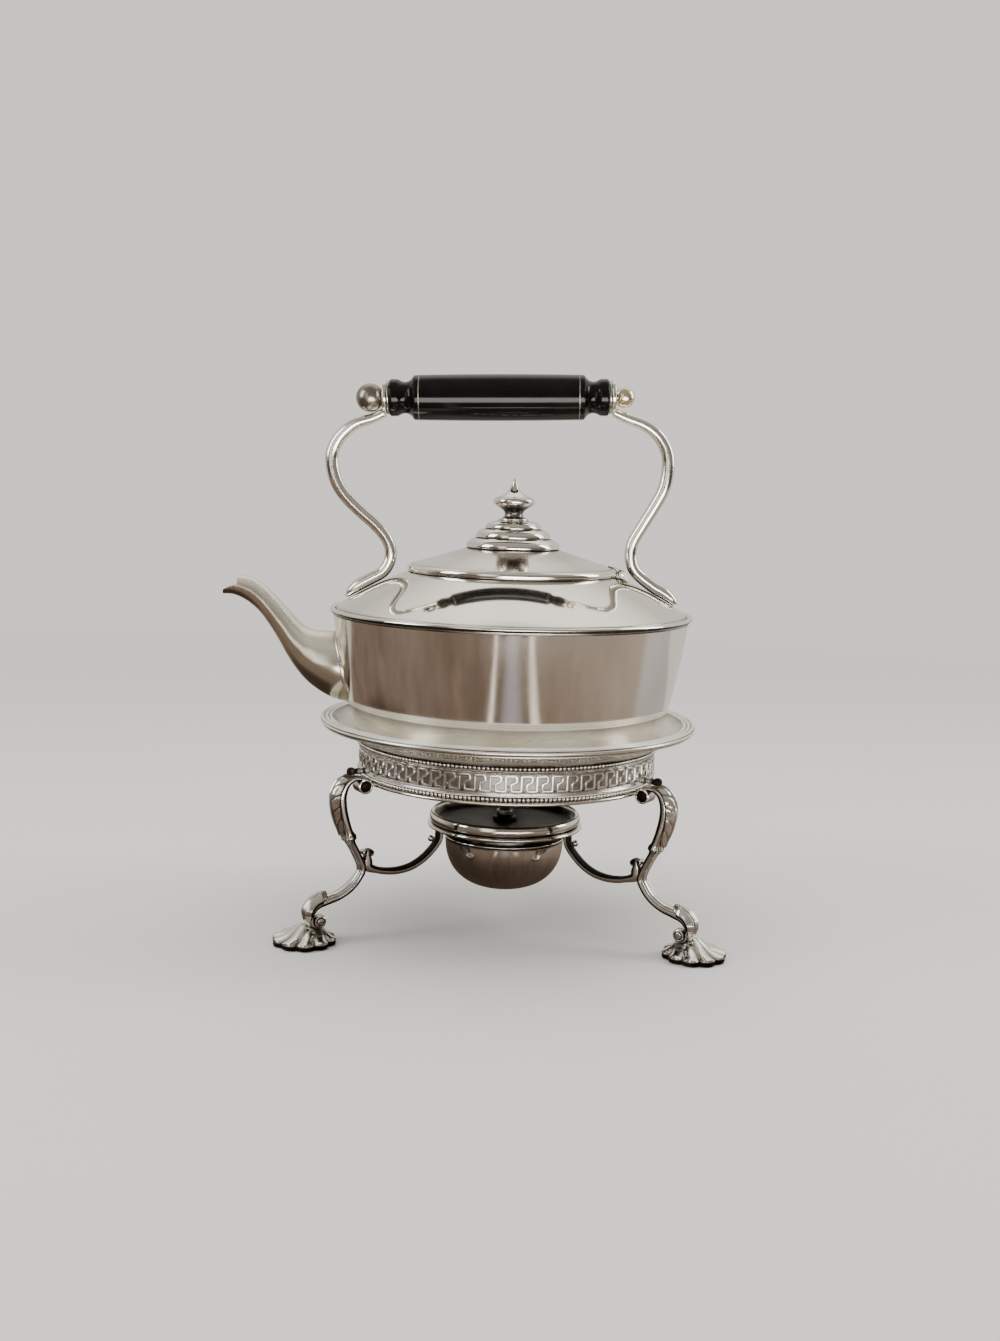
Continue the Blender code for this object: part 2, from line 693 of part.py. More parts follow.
def build_stand(root, plate, aged_plate):
    """Flange, key band, bead rings, holder ring, and three legs with struts and feet."""
    upper_beads = bead_ring_outline(neck_height() - GAP - BEAD_RING_HEIGHT, FLANGE_NECK_RADIUS)
    lower_beads = bead_ring_outline(band_bottom_height() - GAP - BEAD_RING_HEIGHT, BASE_RING_RADIUS)
    turned = (
        ("stand_flange", flange_outline(), LARGE_SIDES, plate),
        ("upper_bead_ring", upper_beads, LARGE_SIDES, aged_plate),
        ("key_band", band_outline(), LARGE_SIDES, aged_plate),
        ("lower_bead_ring", lower_beads, LARGE_SIDES, aged_plate),
        ("base_ring", base_ring_outline(), LARGE_SIDES, plate),
        ("burner_holder_ring", holder_outline(), MEDIUM_SIDES, plate),
    )
    for name, outline, sides, material in turned:
        add_piece(name, turned_mesh(name, outline, sides), material, root)
    upper_scroll, leg, lower_scroll = leg_sections()
    upper_leaf = leaf_stations(leg, UPPER_LEAF_SKIP_COUNT, UPPER_LEAF_SHARES, UPPER_LEAF_LIFT)
    knee_leaf = leaf_stations(leg, KNEE_LEAF_SKIP_COUNT, KNEE_LEAF_SHARES)
    meshes = {
        "leg": lofted_mesh("leg", strap_rings(upper_scroll + leg + lower_scroll)),
        "upper_leaf": lofted_mesh("upper_leaf", strap_rings(upper_leaf, LEAF_SECTION_SHARES)),
        "knee_leaf": lofted_mesh("knee_leaf", strap_rings(knee_leaf, LEAF_SECTION_SHARES)),
        "spur": lofted_mesh("spur", rod_rings(spur_stations(), ARM_SIDES)),
        "strut": lofted_mesh("strut", strap_rings(strut_stations())),
        "foot": lofted_mesh("foot", foot_rings()),
    }
    for side, degrees in LEG_ANGLES.items():
        leg_frame = empty("leg_frame_" + side, (0, 0, 0), root, (0, 0, math.radians(degrees)))
        for stem, mesh in meshes.items():
            place = (LEG_CIRCLE_RADIUS, 0, 0) if stem == "foot" else (0, 0, 0)
            add_piece(stem + "_" + side, mesh.copy(), aged_plate, leg_frame, place)


# Kettle

def bead_height():
    """Height of the centre of the shoulder bead over the kettle's base."""
    return WALL_TOP_HEIGHT + GAP + BEAD_RADIUS


def shoulder_edge():
    """Outer top edge of the shoulder cone, inside the bead."""
    return (WALL_TOP_RADIUS - BEAD_RADIUS - GAP, bead_height() + BEAD_RADIUS + GAP)


def shoulder_height(radius):
    """Height of the shoulder's upper face at a radius."""
    edge_radius, edge_height = shoulder_edge()
    return edge_height + (edge_radius - radius) * math.tan(SHOULDER_PITCH)


def wall_outline(grow=0):
    """Outer line of the kettle wall from its base up, grown outwards by a clearance."""
    corner = (BASE_RADIUS - BASE_ROUND_WIDTH, BASE_ROUND_HEIGHT)
    radii = (BASE_ROUND_WIDTH + grow, BASE_ROUND_HEIGHT + grow)
    line = arc(corner, radii, -90, 0, 3)
    widening = WALL_TOP_RADIUS - BASE_RADIUS
    height = WALL_TOP_HEIGHT - BASE_ROUND_HEIGHT
    line += [
        (BASE_RADIUS + grow + wide * widening, BASE_ROUND_HEIGHT + up * height)
        for wide, up in WALL_SHARES
    ]
    line.append((WALL_TOP_RADIUS + grow, WALL_TOP_HEIGHT))
    return line


def kettle_wall(kettle, plate):
    """Raised wall of the kettle with a turned-in base and the flow hole behind the spout."""
    outline = wall_outline() + list(reversed(wall_outline(-SHEET)))
    wall = add_piece("kettle_wall", turned_mesh("kettle_wall", outline, LARGE_SIDES), plate, kettle)
    hole_outline = [
        (0, 0),
        (FLOW_HOLE_RADIUS, 0),
        (FLOW_HOLE_RADIUS, WALL_TOP_RADIUS + CUT_OVERRUN),
        (0, WALL_TOP_RADIUS + CUT_OVERRUN),
    ]
    hole_mesh = turned_mesh("flow_hole", hole_outline, SMALL_SIDES)
    towards_spout = (0, -math.pi / 2, 0)
    hole = add_piece("flow_hole", hole_mesh, plate, kettle, (0, 0, FLOW_HOLE_HEIGHT), towards_spout)
    combine(wall, cutter_of(hole), "DIFFERENCE")


def kettle_turnings(kettle, plate):
    """Base disc, shoulder cone, shoulder bead and mouth collar."""
    base_edge = BASE_RADIUS - BASE_ROUND_WIDTH - GAP
    drop = SHEET / math.cos(SHOULDER_PITCH)
    edge_radius = shoulder_edge()[0]
    collar_outer = MOUTH_RADIUS + COLLAR_WALL
    collar_bottom = shoulder_height(collar_outer) - drop - GAP - COLLAR_DEPTH
    outlines = {
        "kettle_base": [(0, 0), (base_edge, 0), (base_edge, SHEET), (0, SHEET)],
        "kettle_shoulder": [
            (MOUTH_RADIUS, shoulder_height(MOUTH_RADIUS)),
            (MOUTH_RADIUS, shoulder_height(MOUTH_RADIUS) - drop),
            (edge_radius, shoulder_height(edge_radius) - drop),
            (edge_radius, shoulder_height(edge_radius)),
        ],
        "shoulder_bead": arc(
            (WALL_TOP_RADIUS, bead_height()),
            (BEAD_RADIUS, BEAD_RADIUS),
            0,
            360 - 360 / BEAD_SIDES,
            BEAD_SIDES - 1,
        ),
        "mouth_collar": [
            (MOUTH_RADIUS, collar_bottom),
            (collar_outer, collar_bottom),
            (collar_outer, shoulder_height(collar_outer) - drop - GAP),
            (MOUTH_RADIUS, shoulder_height(MOUTH_RADIUS) - drop - GAP),
        ],
    }
    for name, outline in outlines.items():
        add_piece(name, turned_mesh(name, outline, LARGE_SIDES), plate, kettle)


def spout_ring(low, high, half_width, inset):
    """One oval section of the spout between its lower and upper edges, drawn in by an inset."""
    centre = (low + high) / 2
    up = high - low
    half_height = up.length / 2 - inset
    up.normalize()
    ring = []
    for step in range(SPOUT_SIDES):
        angle = math.tau * step / SPOUT_SIDES
        side = Vector((0, (half_width - inset) * math.sin(angle), 0))
        ring.append(centre + up * (half_height * math.cos(angle)) + side)
    return ring


def spout_edges():
    """Lower edge, upper edge and half width at each section, from inside the wall outwards."""
    root_x = -SPOUT_ROOT_RADIUS
    sections = []
    for low_out, low_up, high_out, high_up, wide in SPOUT_SHARES:
        low = Vector((root_x - low_out * SPOUT_REACH, 0, SPOUT_ROOT_HEIGHT + low_up * SPOUT_RISE))
        high = Vector((root_x - high_out * SPOUT_REACH, 0, SPOUT_ROOT_HEIGHT + high_up * SPOUT_RISE))
        sections.append((low, high, wide * SPOUT_HALF_WIDTH))
    inside = Vector((SPOUT_ROOT_SINK, 0, 0))
    low, high, half_width = sections[0]
    sections.insert(0, (low + inside, high + inside, half_width))
    return sections


def spout(kettle, worn_plate):
    """Hollow tapering spout, cut to the wall at its root and to an open beak at its mouth."""
    sections = spout_edges()
    outer = [spout_ring(low, high, wide, 0) for low, high, wide in sections]
    inner = [spout_ring(low, high, wide, SPOUT_WALL) for low, high, wide in reversed(sections)]
    mesh = lofted_mesh("spout", outer + inner, hollow=True)
    piece = add_piece("spout", mesh, worn_plate, kettle)
    top = WALL_TOP_HEIGHT + CUT_OVERRUN
    core_outline = [(0, 0), *wall_outline(GAP), (WALL_TOP_RADIUS + GAP, top), (0, top)]
    core_mesh = turned_mesh("wall_core", core_outline, LARGE_SIDES)
    core = add_piece("wall_core", core_mesh, worn_plate, kettle)
    combine(piece, cutter_of(core), "DIFFERENCE")
    root_x = sections[1][0].x
    notch_x = root_x - SPOUT_MOUTH_CUT_SHARE * SPOUT_REACH
    past_tip_x = root_x - SPOUT_REACH - CUT_OVERRUN
    notch_z = SPOUT_ROOT_HEIGHT + SPOUT_LIP_SHARE * SPOUT_RISE
    tip_z = SPOUT_ROOT_HEIGHT + SPOUT_TIP_SHARE * SPOUT_RISE
    over_z = SPOUT_ROOT_HEIGHT + SPOUT_RISE + CUT_OVERRUN
    beak_outline = [(notch_x, over_z), (notch_x, notch_z), (past_tip_x, tip_z), (past_tip_x, over_z)]
    beak_mesh = prism_mesh("beak_cut", beak_outline, -SPOUT_HALF_WIDTH, SPOUT_HALF_WIDTH)
    combine(piece, cutter_of(add_piece("beak_cut", beak_mesh, worn_plate, kettle)), "DIFFERENCE")


def plate_start():
    """Distance of a plate's inner face from the middle of the grip."""
    return GRIP_LENGTH / 2 + GAP + WASHER_THICKNESS + GAP


def beside_grip(side, reach, drop):
    """A place beside the grip's axis in the kettle's frame. Side is -1 left or 1 right."""
    along = (math.cos(GRIP_TILT), math.sin(GRIP_TILT))
    return (
        GRIP_OFFSET + side * reach * along[0] + drop * along[1],
        GRIP_HEIGHT + side * reach * along[1] - drop * along[0],
    )


def arm_stations(side, shares):
    """Centreline of an arm from its pointed foot on the shoulder up to the plate."""
    steep = math.cos(SHOULDER_PITCH)

    def on_shoulder(radius, thickness):
        return (radius, shoulder_height(radius) + (thickness + GAP) / steep, thickness)

    middle_radius = (ARM_TIP_RADIUS + ARM_HEEL_RADIUS) / 2
    path = [
        on_shoulder(ARM_TIP_RADIUS, ARM_TIP_SHARE * ARM_RADIUS),
        on_shoulder(middle_radius, ARM_INSTEP_SHARE * ARM_RADIUS),
        on_shoulder(ARM_HEEL_RADIUS, ARM_RADIUS),
    ]
    foot_height = path[0][1]
    rise = GRIP_HEIGHT - foot_height
    path += [
        (out * ARM_TIP_RADIUS, foot_height + up * rise, thick * ARM_RADIUS)
        for out, up, thick in shares
    ]
    plate_middle = plate_start() + PLATE_THICKNESS / 2
    bend = beside_grip(side, plate_middle + ARM_BEND_REACH, PLATE_RADIUS + ARM_BEND_DROP)
    end = beside_grip(side, plate_middle, PLATE_RADIUS - ARM_END_RADIUS / 2)
    path.append((side * bend[0], bend[1], ARM_BEND_RADIUS))
    path.append((side * end[0], end[1], ARM_END_RADIUS))
    return [(side * x, z, radius) for x, z, radius in smooth_path(path, 1)]


def handle_arms(kettle, grip_axis, plate):
    """Two bent arms whose pointed feet lie on the shoulder, each with a plate at its top."""
    start = plate_start()
    plate_outline = ring_outline(TIE_ROD_RADIUS + GAP, PLATE_RADIUS, start, start + PLATE_THICKNESS)
    for name, side, shares, facing in (
        ("handle_arm_left", -1, LEFT_ARM_SHARES, math.pi),
        ("handle_arm_right", 1, RIGHT_ARM_SHARES, 0),
    ):
        mesh = lofted_mesh(name, rod_rings(arm_stations(side, shares), ARM_SIDES))
        arm = add_piece(name, mesh, plate, kettle)
        end_mesh = turned_mesh(name + "_plate", plate_outline, SMALL_SIDES)
        end_plate = add_piece(name + "_plate", end_mesh, plate, grip_axis, rotation=(facing, 0, 0))
        combine(arm, cutter_of(end_plate), "UNION")


def ring_outline(inner, outer, low, high):
    """Section of a plain ring."""
    return [(inner, low), (outer, low), (outer, high), (inner, high)]


def nut_outline(radius, seat_share, seat):
    """Section of a ball nut with a blind hole for the tie rod, its seat towards the plate."""
    centre = seat + seat_share * radius
    start = -math.degrees(math.asin(seat_share))
    hole = TIE_ROD_RADIUS + GAP
    ball = arc((0, centre), (radius, radius), start, 90, 7)
    depth = seat + NUT_HOLE_SHARE * radius
    return [(hole, seat), *ball, (0, depth), (hole, depth)]


def handle_grip(axis, plate, wood, aged_plate, brass):
    """Wooden grip with two inlaid rings, and the rod, washers and ball nuts on its axis."""
    half = GRIP_LENGTH / 2
    bore = TIE_ROD_RADIUS + GAP
    inlay_centre = INLAY_SHARE * half
    profile = [(-along, across) for along, across in reversed(GRIP_END_SHARES)]
    profile += [(0, 1), *GRIP_END_SHARES]
    inlay_radius = dict(GRIP_END_SHARES)[INLAY_SHARE] * GRIP_RADIUS
    floor = inlay_radius - INLAY_DEPTH
    outline = [(bore, half), (bore, -half)]
    for along, across in profile:
        if abs(along) == INLAY_SHARE:
            place = along * half
            groove = INLAY_WIDTH / 2 + GAP
            outline += [
                (inlay_radius, place - groove),
                (floor - GAP, place - groove),
                (floor - GAP, place + groove),
                (inlay_radius, place + groove),
            ]
        else:
            outline.append((across * GRIP_RADIUS, along * half))
    add_piece("grip", turned_mesh("grip", outline, SMALL_SIDES), wood, axis)
    nut_seat = plate_start() + PLATE_THICKNESS + GAP
    rod_reach = (
        nut_seat + NUT_HOLE_SHARE * LEFT_NUT_RADIUS - GAP,
        nut_seat + NUT_HOLE_SHARE * RIGHT_NUT_RADIUS - GAP,
    )
    rod_outline = [
        (0, -rod_reach[0]),
        (TIE_ROD_RADIUS, -rod_reach[0]),
        (TIE_ROD_RADIUS, rod_reach[1]),
        (0, rod_reach[1]),
    ]
    add_piece("tie_rod", turned_mesh("tie_rod", rod_outline, TINY_SIDES), plate, axis)
    washer_start = half + GAP
    washer = ring_outline(bore, WASHER_RADIUS, washer_start, washer_start + WASHER_THICKNESS)
    inlay_low = inlay_centre - INLAY_WIDTH / 2
    inlay = ring_outline(floor, inlay_radius, inlay_low, inlay_low + INLAY_WIDTH)
    for side, facing, nut_radius, seat_share, nut_finish in (
        ("left", math.pi, LEFT_NUT_RADIUS, LEFT_NUT_SEAT_SHARE, aged_plate),
        ("right", 0, RIGHT_NUT_RADIUS, RIGHT_NUT_SEAT_SHARE, brass),
    ):
        outlines = (
            ("inlay_ring_", inlay, plate),
            ("grip_washer_", washer, plate),
            ("ball_nut_", nut_outline(nut_radius, seat_share, nut_seat), nut_finish),
        )
        for stem, outline, material in outlines:
            name = stem + side
            mesh = turned_mesh(name, outline, SMALL_SIDES)
            add_piece(name, mesh, material, axis, rotation=(facing, 0, 0))


def hinge_place():
    """Axis of the lid's hinge in the kettle's frame."""
    x = LID_RADIUS + KNUCKLE_CLEARANCE + KNUCKLE_RADIUS
    lift = (KNUCKLE_RADIUS + GAP) / math.cos(SHOULDER_PITCH)
    return (x, 0, shoulder_height(x) + lift)


def pin_hole(name, parent, place, material):
    """Cutter for the pin's bore, along Y."""
    reach = 2 * KNUCKLE_LENGTH
    outline = [(0, -reach), (PIN_RADIUS + GAP, -reach), (PIN_RADIUS + GAP, reach), (0, reach)]
    mesh = turned_mesh(name, outline, TINY_SIDES)
    return cutter_of(add_piece(name, mesh, material, parent, place, (math.pi / 2, 0, 0)))


def kettle_hinge(kettle, plate):
    """Two knuckles soldered to the shoulder and the pin that they hold."""
    x, y, z = hinge_place()
    toe = x - LUG_TOE
    heel = x + LUG_REACH
    knuckle = arc((x, z), (KNUCKLE_RADIUS, KNUCKLE_RADIUS), 20, 225, 8)
    outline = [(toe, shoulder_height(toe) + GAP), (heel, shoulder_height(heel) + GAP), *knuckle]
    near = KNUCKLE_LENGTH / 2 + GAP
    far = near + KNUCKLE_LENGTH
    bore = pin_hole("pin_bore", kettle, (x, y, z), plate)
    for name, low, high in (("hinge_knuckle_front", -far, -near), ("hinge_knuckle_rear", near, far)):
        lug = add_piece(name, prism_mesh(name, outline, low, high), plate, kettle)
        combine(lug, bore, "DIFFERENCE")
    pin_outline = [(0, -far), (PIN_RADIUS, -far), (PIN_RADIUS, far), (0, far)]
    mesh = turned_mesh("hinge_pin", pin_outline, TINY_SIDES)
    add_piece("hinge_pin", mesh, plate, kettle, (x, y, z), (math.pi / 2, 0, 0))


# Lid, built about the kettle's axis and carried by the hinge pin

def lid_rim_top():
    """Height of the rim's upper corner in the kettle's frame."""
    return shoulder_height(LID_RADIUS) + GAP + LID_RIM_HEIGHT


def lid_height(radius):
    """Height of the lid cone's upper face at a radius."""
    return lid_rim_top() + (LID_RADIUS - radius) * math.tan(LID_PITCH)


def lid_cone_outline():
    """Section of the lid's shallow cone with its thick rim."""
    drop = SHEET / math.cos(LID_PITCH)
    rim_inner = LID_RADIUS - LID_RIM_WIDTH
    return [
        (LID_RADIUS, shoulder_height(LID_RADIUS) + GAP),
        (LID_RADIUS, lid_rim_top()),
        (LID_HOLE_RADIUS, lid_height(LID_HOLE_RADIUS)),
        (LID_HOLE_RADIUS, lid_height(LID_HOLE_RADIUS) - drop),
        (rim_inner, lid_height(rim_inner) - drop),
        (rim_inner, shoulder_height(rim_inner) + GAP),
    ]


def bezel_outline():
    """Section of the ring under the lid that enters the kettle's mouth."""
    drop = SHEET / math.cos(LID_PITCH) + GAP
    outer = MOUTH_RADIUS - BEZEL_CLEARANCE
    inner = outer - SHEET
    bottom = shoulder_height(MOUTH_RADIUS) - BEZEL_DEPTH
    return [
        (inner, bottom),
        (outer, bottom),
        (outer, lid_height(outer) - drop),
        (inner, lid_height(inner) - drop),
    ]


def dome_outline():
    """Section of the stepped dome over the lid's hole."""
    bottom = lid_height(DOME_RADIUS) + GAP
    foot_inner = DOME_FOOT_SHARE * DOME_RADIUS
    outer = [(wide * DOME_RADIUS, bottom + up * DOME_HEIGHT) for wide, up in DOME_OUTER_SHARES]
    inner = [(wide * DOME_RADIUS, bottom + up * DOME_HEIGHT) for wide, up in DOME_INNER_SHARES]
    hole = STUD_RADIUS + GAP
    top = bottom + DOME_HEIGHT
    foot = [(foot_inner, lid_height(foot_inner) + GAP), (DOME_RADIUS, bottom)]
    return [*foot, *outer, (hole, top), (hole, inner[0][1]), *inner]


def finial_outline():
    """Section of the finial with the stud that holds it through the dome."""
    bottom = lid_height(DOME_RADIUS) + GAP + DOME_HEIGHT + GAP
    stud_end = bottom - GAP - (1 - DOME_INNER_SHARES[0][1]) * DOME_HEIGHT - 2 * FINIAL_NUT_HEIGHT
    turning = [(wide * FINIAL_RADIUS, bottom + up * FINIAL_HEIGHT) for wide, up in FINIAL_SHARES]
    tip = (0, bottom + FINIAL_HEIGHT)
    return [(0, stud_end), (STUD_RADIUS, stud_end), (STUD_RADIUS, bottom), *turning, tip]


def finial_nut_outline():
    """Section of the nut under the dome."""
    top = lid_height(DOME_RADIUS) + GAP + DOME_INNER_SHARES[0][1] * DOME_HEIGHT - GAP
    return ring_outline(STUD_RADIUS + GAP, FINIAL_NUT_RADIUS, top - FINIAL_NUT_HEIGHT, top)


def lid_hinge_leaf(lid, plate):
    """Leaf on the lid's rim with the middle knuckle, in the kettle's frame."""
    x, y, z = hinge_place()
    start = LID_RADIUS - LEAF_REACH
    knuckle = arc((x, z), (KNUCKLE_RADIUS, KNUCKLE_RADIUS), 120, -170, 9)
    beside_rim = (LID_RADIUS + GAP, lid_rim_top() + GAP)
    outline = [
        beside_rim,
        (start, lid_height(start) + GAP),
        (start, lid_height(start) + GAP + LEAF_THICKNESS),
        *knuckle,
    ]
    half = KNUCKLE_LENGTH / 2
    place = (-x, -y, -z)
    mesh = prism_mesh("lid_hinge_leaf", outline, -half, half)
    leaf = add_piece("lid_hinge_leaf", mesh, plate, lid, place)
    combine(leaf, pin_hole("leaf_bore", lid, (0, 0, 0), plate), "DIFFERENCE")


def build_lid(kettle, plate):
    """Cone, bezel, stepped dome, finial with its nut, and hinge leaf, all on the hinge axis."""
    x, y, z = hinge_place()
    lid = empty("lid_hinge_axis", (x, y, z), kettle)
    turned = (
        ("lid_cone", lid_cone_outline(), LARGE_SIDES),
        ("lid_bezel", bezel_outline(), LARGE_SIDES),
        ("lid_dome", dome_outline(), MEDIUM_SIDES),
        ("finial", finial_outline(), SMALL_SIDES),
        ("finial_nut", finial_nut_outline(), TINY_SIDES),
    )
    for name, outline, sides in turned:
        add_piece(name, turned_mesh(name, outline, sides), plate, lid, (-x, -y, -z))
    lid_hinge_leaf(lid, plate)


def build_kettle(root, plate, worn_plate, aged_plate, wood, brass):
    """Kettle standing on the flange's ledge, with its spout, handle, hinge and lid."""
    kettle = empty("kettle_seat", (0, 0, LEDGE_HEIGHT + GAP), root)
    kettle_wall(kettle, plate)
    kettle_turnings(kettle, plate)
    spout(kettle, worn_plate)
    grip_turn = (0, math.pi / 2 - GRIP_TILT, 0)
    grip_axis = empty("grip_axis", (GRIP_OFFSET, 0, GRIP_HEIGHT), kettle, grip_turn)
    handle_arms(kettle, grip_axis, plate)
    handle_grip(grip_axis, plate, wood, aged_plate, brass)
    kettle_hinge(kettle, plate)
    build_lid(kettle, plate)


# Burner

def bowl_outline():
    """Section of the fuel bowl with its rolled lip and neck."""
    lip_height = -BOWL_NECK_HEIGHT
    steps = 5
    outer = arc((0, lip_height), (BOWL_RADIUS - BOWL_LIP, BOWL_DEPTH), -90, 0, steps)
    inner_radii = (BOWL_RADIUS - BOWL_LIP - SHEET, BOWL_DEPTH - SHEET)
    inner = arc((0, lip_height), inner_radii, 0, -90, steps)
    lip = [
        (BOWL_RADIUS, lip_height),
        (BOWL_RADIUS, lip_height + BOWL_LIP),
        (BOWL_NECK_RADIUS, lip_height + BOWL_LIP),
        (BOWL_NECK_RADIUS, -GAP),
        (BOWL_NECK_RADIUS - SHEET, -GAP),
    ]
    return outer + lip + inner


def pan_outline():
    """Section of the pan that hangs the burner on its ring, dished to the wick tube."""
    hole = WICK_RADIUS + GAP + WICK_TUBE_WALL + GAP
    inner = PAN_RADIUS - PAN_LIP
    return [
        (hole, 0),
        (PAN_RADIUS - PAN_BEAD, 0),
        (PAN_RADIUS, PAN_BEAD),
        (PAN_RADIUS, PAN_HEIGHT - PAN_BEAD),
        (PAN_RADIUS - PAN_BEAD, PAN_HEIGHT),
        (inner, PAN_HEIGHT - PAN_BEAD),
        (inner - PAN_LIP, PAN_FLOOR),
        (hole, PAN_FLOOR),
    ]


def wick_tube_outline():
    """Section of the wick tube with the collar that rests on the pan's floor."""
    bore = WICK_RADIUS + GAP
    outer = bore + WICK_TUBE_WALL
    collar = outer + WICK_COLLAR_WIDTH
    seat = PAN_FLOOR + GAP
    return [
        (bore, -WICK_TUBE_DEPTH),
        (outer, -WICK_TUBE_DEPTH),
        (outer, seat),
        (collar, seat),
        (collar, seat + SHEET),
        (outer, seat + SHEET),
        (outer, PAN_HEIGHT + WICK_TUBE_RISE),
        (bore, PAN_HEIGHT + WICK_TUBE_RISE),
    ]


def wick_outline():
    """Section of the round wick, from near the bowl's floor to just over the tube."""
    bottom = -BOWL_NECK_HEIGHT - BOWL_DEPTH + SHEET + WICK_CLEARANCE
    top = PAN_HEIGHT + WICK_TUBE_RISE
    return [(0, bottom), (WICK_RADIUS, bottom), *arc((0, top), (WICK_RADIUS, WICK_TIP), 0, 90, 3)]


def build_burner(root, plate, cotton):
    """Burner that lifts out of the holder ring."""
    burner = empty("burner_seat", (0, 0, HOLDER_TOP_HEIGHT + GAP), root)
    turned = (
        ("burner_bowl", bowl_outline(), MEDIUM_SIDES, plate),
        ("burner_pan", pan_outline(), MEDIUM_SIDES, plate),
        ("wick_tube", wick_tube_outline(), TINY_SIDES, plate),
        ("wick", wick_outline(), TINY_SIDES, cotton),
    )
    for name, outline, sides, material in turned:
        add_piece(name, turned_mesh(name, outline, sides), material, burner)


def set_on_footprint(root):
    """Moves the whole so that the origin is the centre of its footprint."""
    bpy.context.view_layer.update()
    graph = bpy.context.evaluated_depsgraph_get()
    corners = []
    for piece in bpy.context.scene.objects:
        if piece.type == "MESH" and not piece.hide_render:
            solid = piece.evaluated_get(graph)
            corners += [solid.matrix_world @ vertex.co for vertex in solid.data.vertices]
    low = [min(corner[axis] for corner in corners) for axis in range(3)]
    high = [max(corner[axis] for corner in corners) for axis in range(3)]
    root.location = (-(low[0] + high[0]) / 2, -(low[1] + high[1]) / 2, -low[2])


def main():
    """Clears the scene and builds the kettle on its stand."""
    for leftover in list(bpy.data.objects):
        bpy.data.objects.remove(leftover, do_unlink=True)
    plate = finish("polished_silver_plate", (0.83, 0.81, 0.77), 0.14, 1.0)
    worn_plate = finish("worn_silver_plate", (0.74, 0.70, 0.60), 0.30, 1.0)
    aged_plate = finish("oxidised_silver_plate", (0.60, 0.56, 0.50), 0.32, 1.0)
    brass = finish("bared_brass", (0.66, 0.55, 0.36), 0.28, 1.0)
    wood = finish("ebonised_wood", (0.012, 0.011, 0.011), 0.32, 0.0)
    cotton = finish("wick_cotton", (0.55, 0.48, 0.38), 0.95, 0.0)
    root = empty("spirit_kettle_on_stand", (0, 0, 0))
    build_stand(root, plate, aged_plate)
    build_kettle(root, plate, worn_plate, aged_plate, wood, brass)
    build_burner(root, plate, cotton)
    set_on_footprint(root)


main()
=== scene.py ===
"""Looks of a plated spirit kettle on its three-legged stand, with a hinged lid and a burner.

Sizes are in metres and angles in degrees. +Z is up, the spout points to -X and the photograph
is taken from -Y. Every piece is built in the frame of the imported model.
"""

import logging
import math
from collections.abc import Callable, Sequence
from dataclasses import dataclass
from enum import Enum

import bpy
import numpy as np
from mathutils import Matrix, Vector


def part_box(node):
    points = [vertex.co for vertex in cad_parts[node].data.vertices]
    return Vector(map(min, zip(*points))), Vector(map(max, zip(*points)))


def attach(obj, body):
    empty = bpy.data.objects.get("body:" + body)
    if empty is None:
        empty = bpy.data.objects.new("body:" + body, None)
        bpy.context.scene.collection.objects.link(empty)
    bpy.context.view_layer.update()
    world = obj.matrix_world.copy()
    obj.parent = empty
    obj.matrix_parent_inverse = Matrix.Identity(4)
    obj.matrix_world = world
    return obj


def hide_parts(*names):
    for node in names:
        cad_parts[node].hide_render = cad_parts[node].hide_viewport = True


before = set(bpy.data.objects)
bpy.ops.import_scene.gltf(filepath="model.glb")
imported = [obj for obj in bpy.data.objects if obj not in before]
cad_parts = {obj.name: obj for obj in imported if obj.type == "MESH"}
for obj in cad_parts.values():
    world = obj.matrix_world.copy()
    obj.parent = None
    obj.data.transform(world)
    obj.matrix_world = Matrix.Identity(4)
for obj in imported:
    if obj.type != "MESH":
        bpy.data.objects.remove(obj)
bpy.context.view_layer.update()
LOG = logging.getLogger("spirit_kettle")
LEG_ANGLES = {"front_left": 208.6, "front_right": 328.6, "back": 88.6}

# Heights at which the kettle and the burner stand, and the room left between pieces that are soldered
KETTLE_SEAT = 0.0987
BURNER_SEAT = 0.0541
GAP = 0.0003

# The kettle's shoulder: radius and height of its edge, its slope, and its bulge over a run from the edge
SHOULDER_EDGE = (0.0925, 0.0700)
SHOULDER_SLOPE = math.radians(27.4)
SHOULDER_RUN = 0.0365
SHOULDER_BULGE = 0.0012

Colour = tuple[float, float, float, float]
Corner = tuple[float, float, float, float]
Point = tuple[float, ...]
BLACK: Colour = (0.0, 0.0, 0.0, 1.0)


# Shader sheets

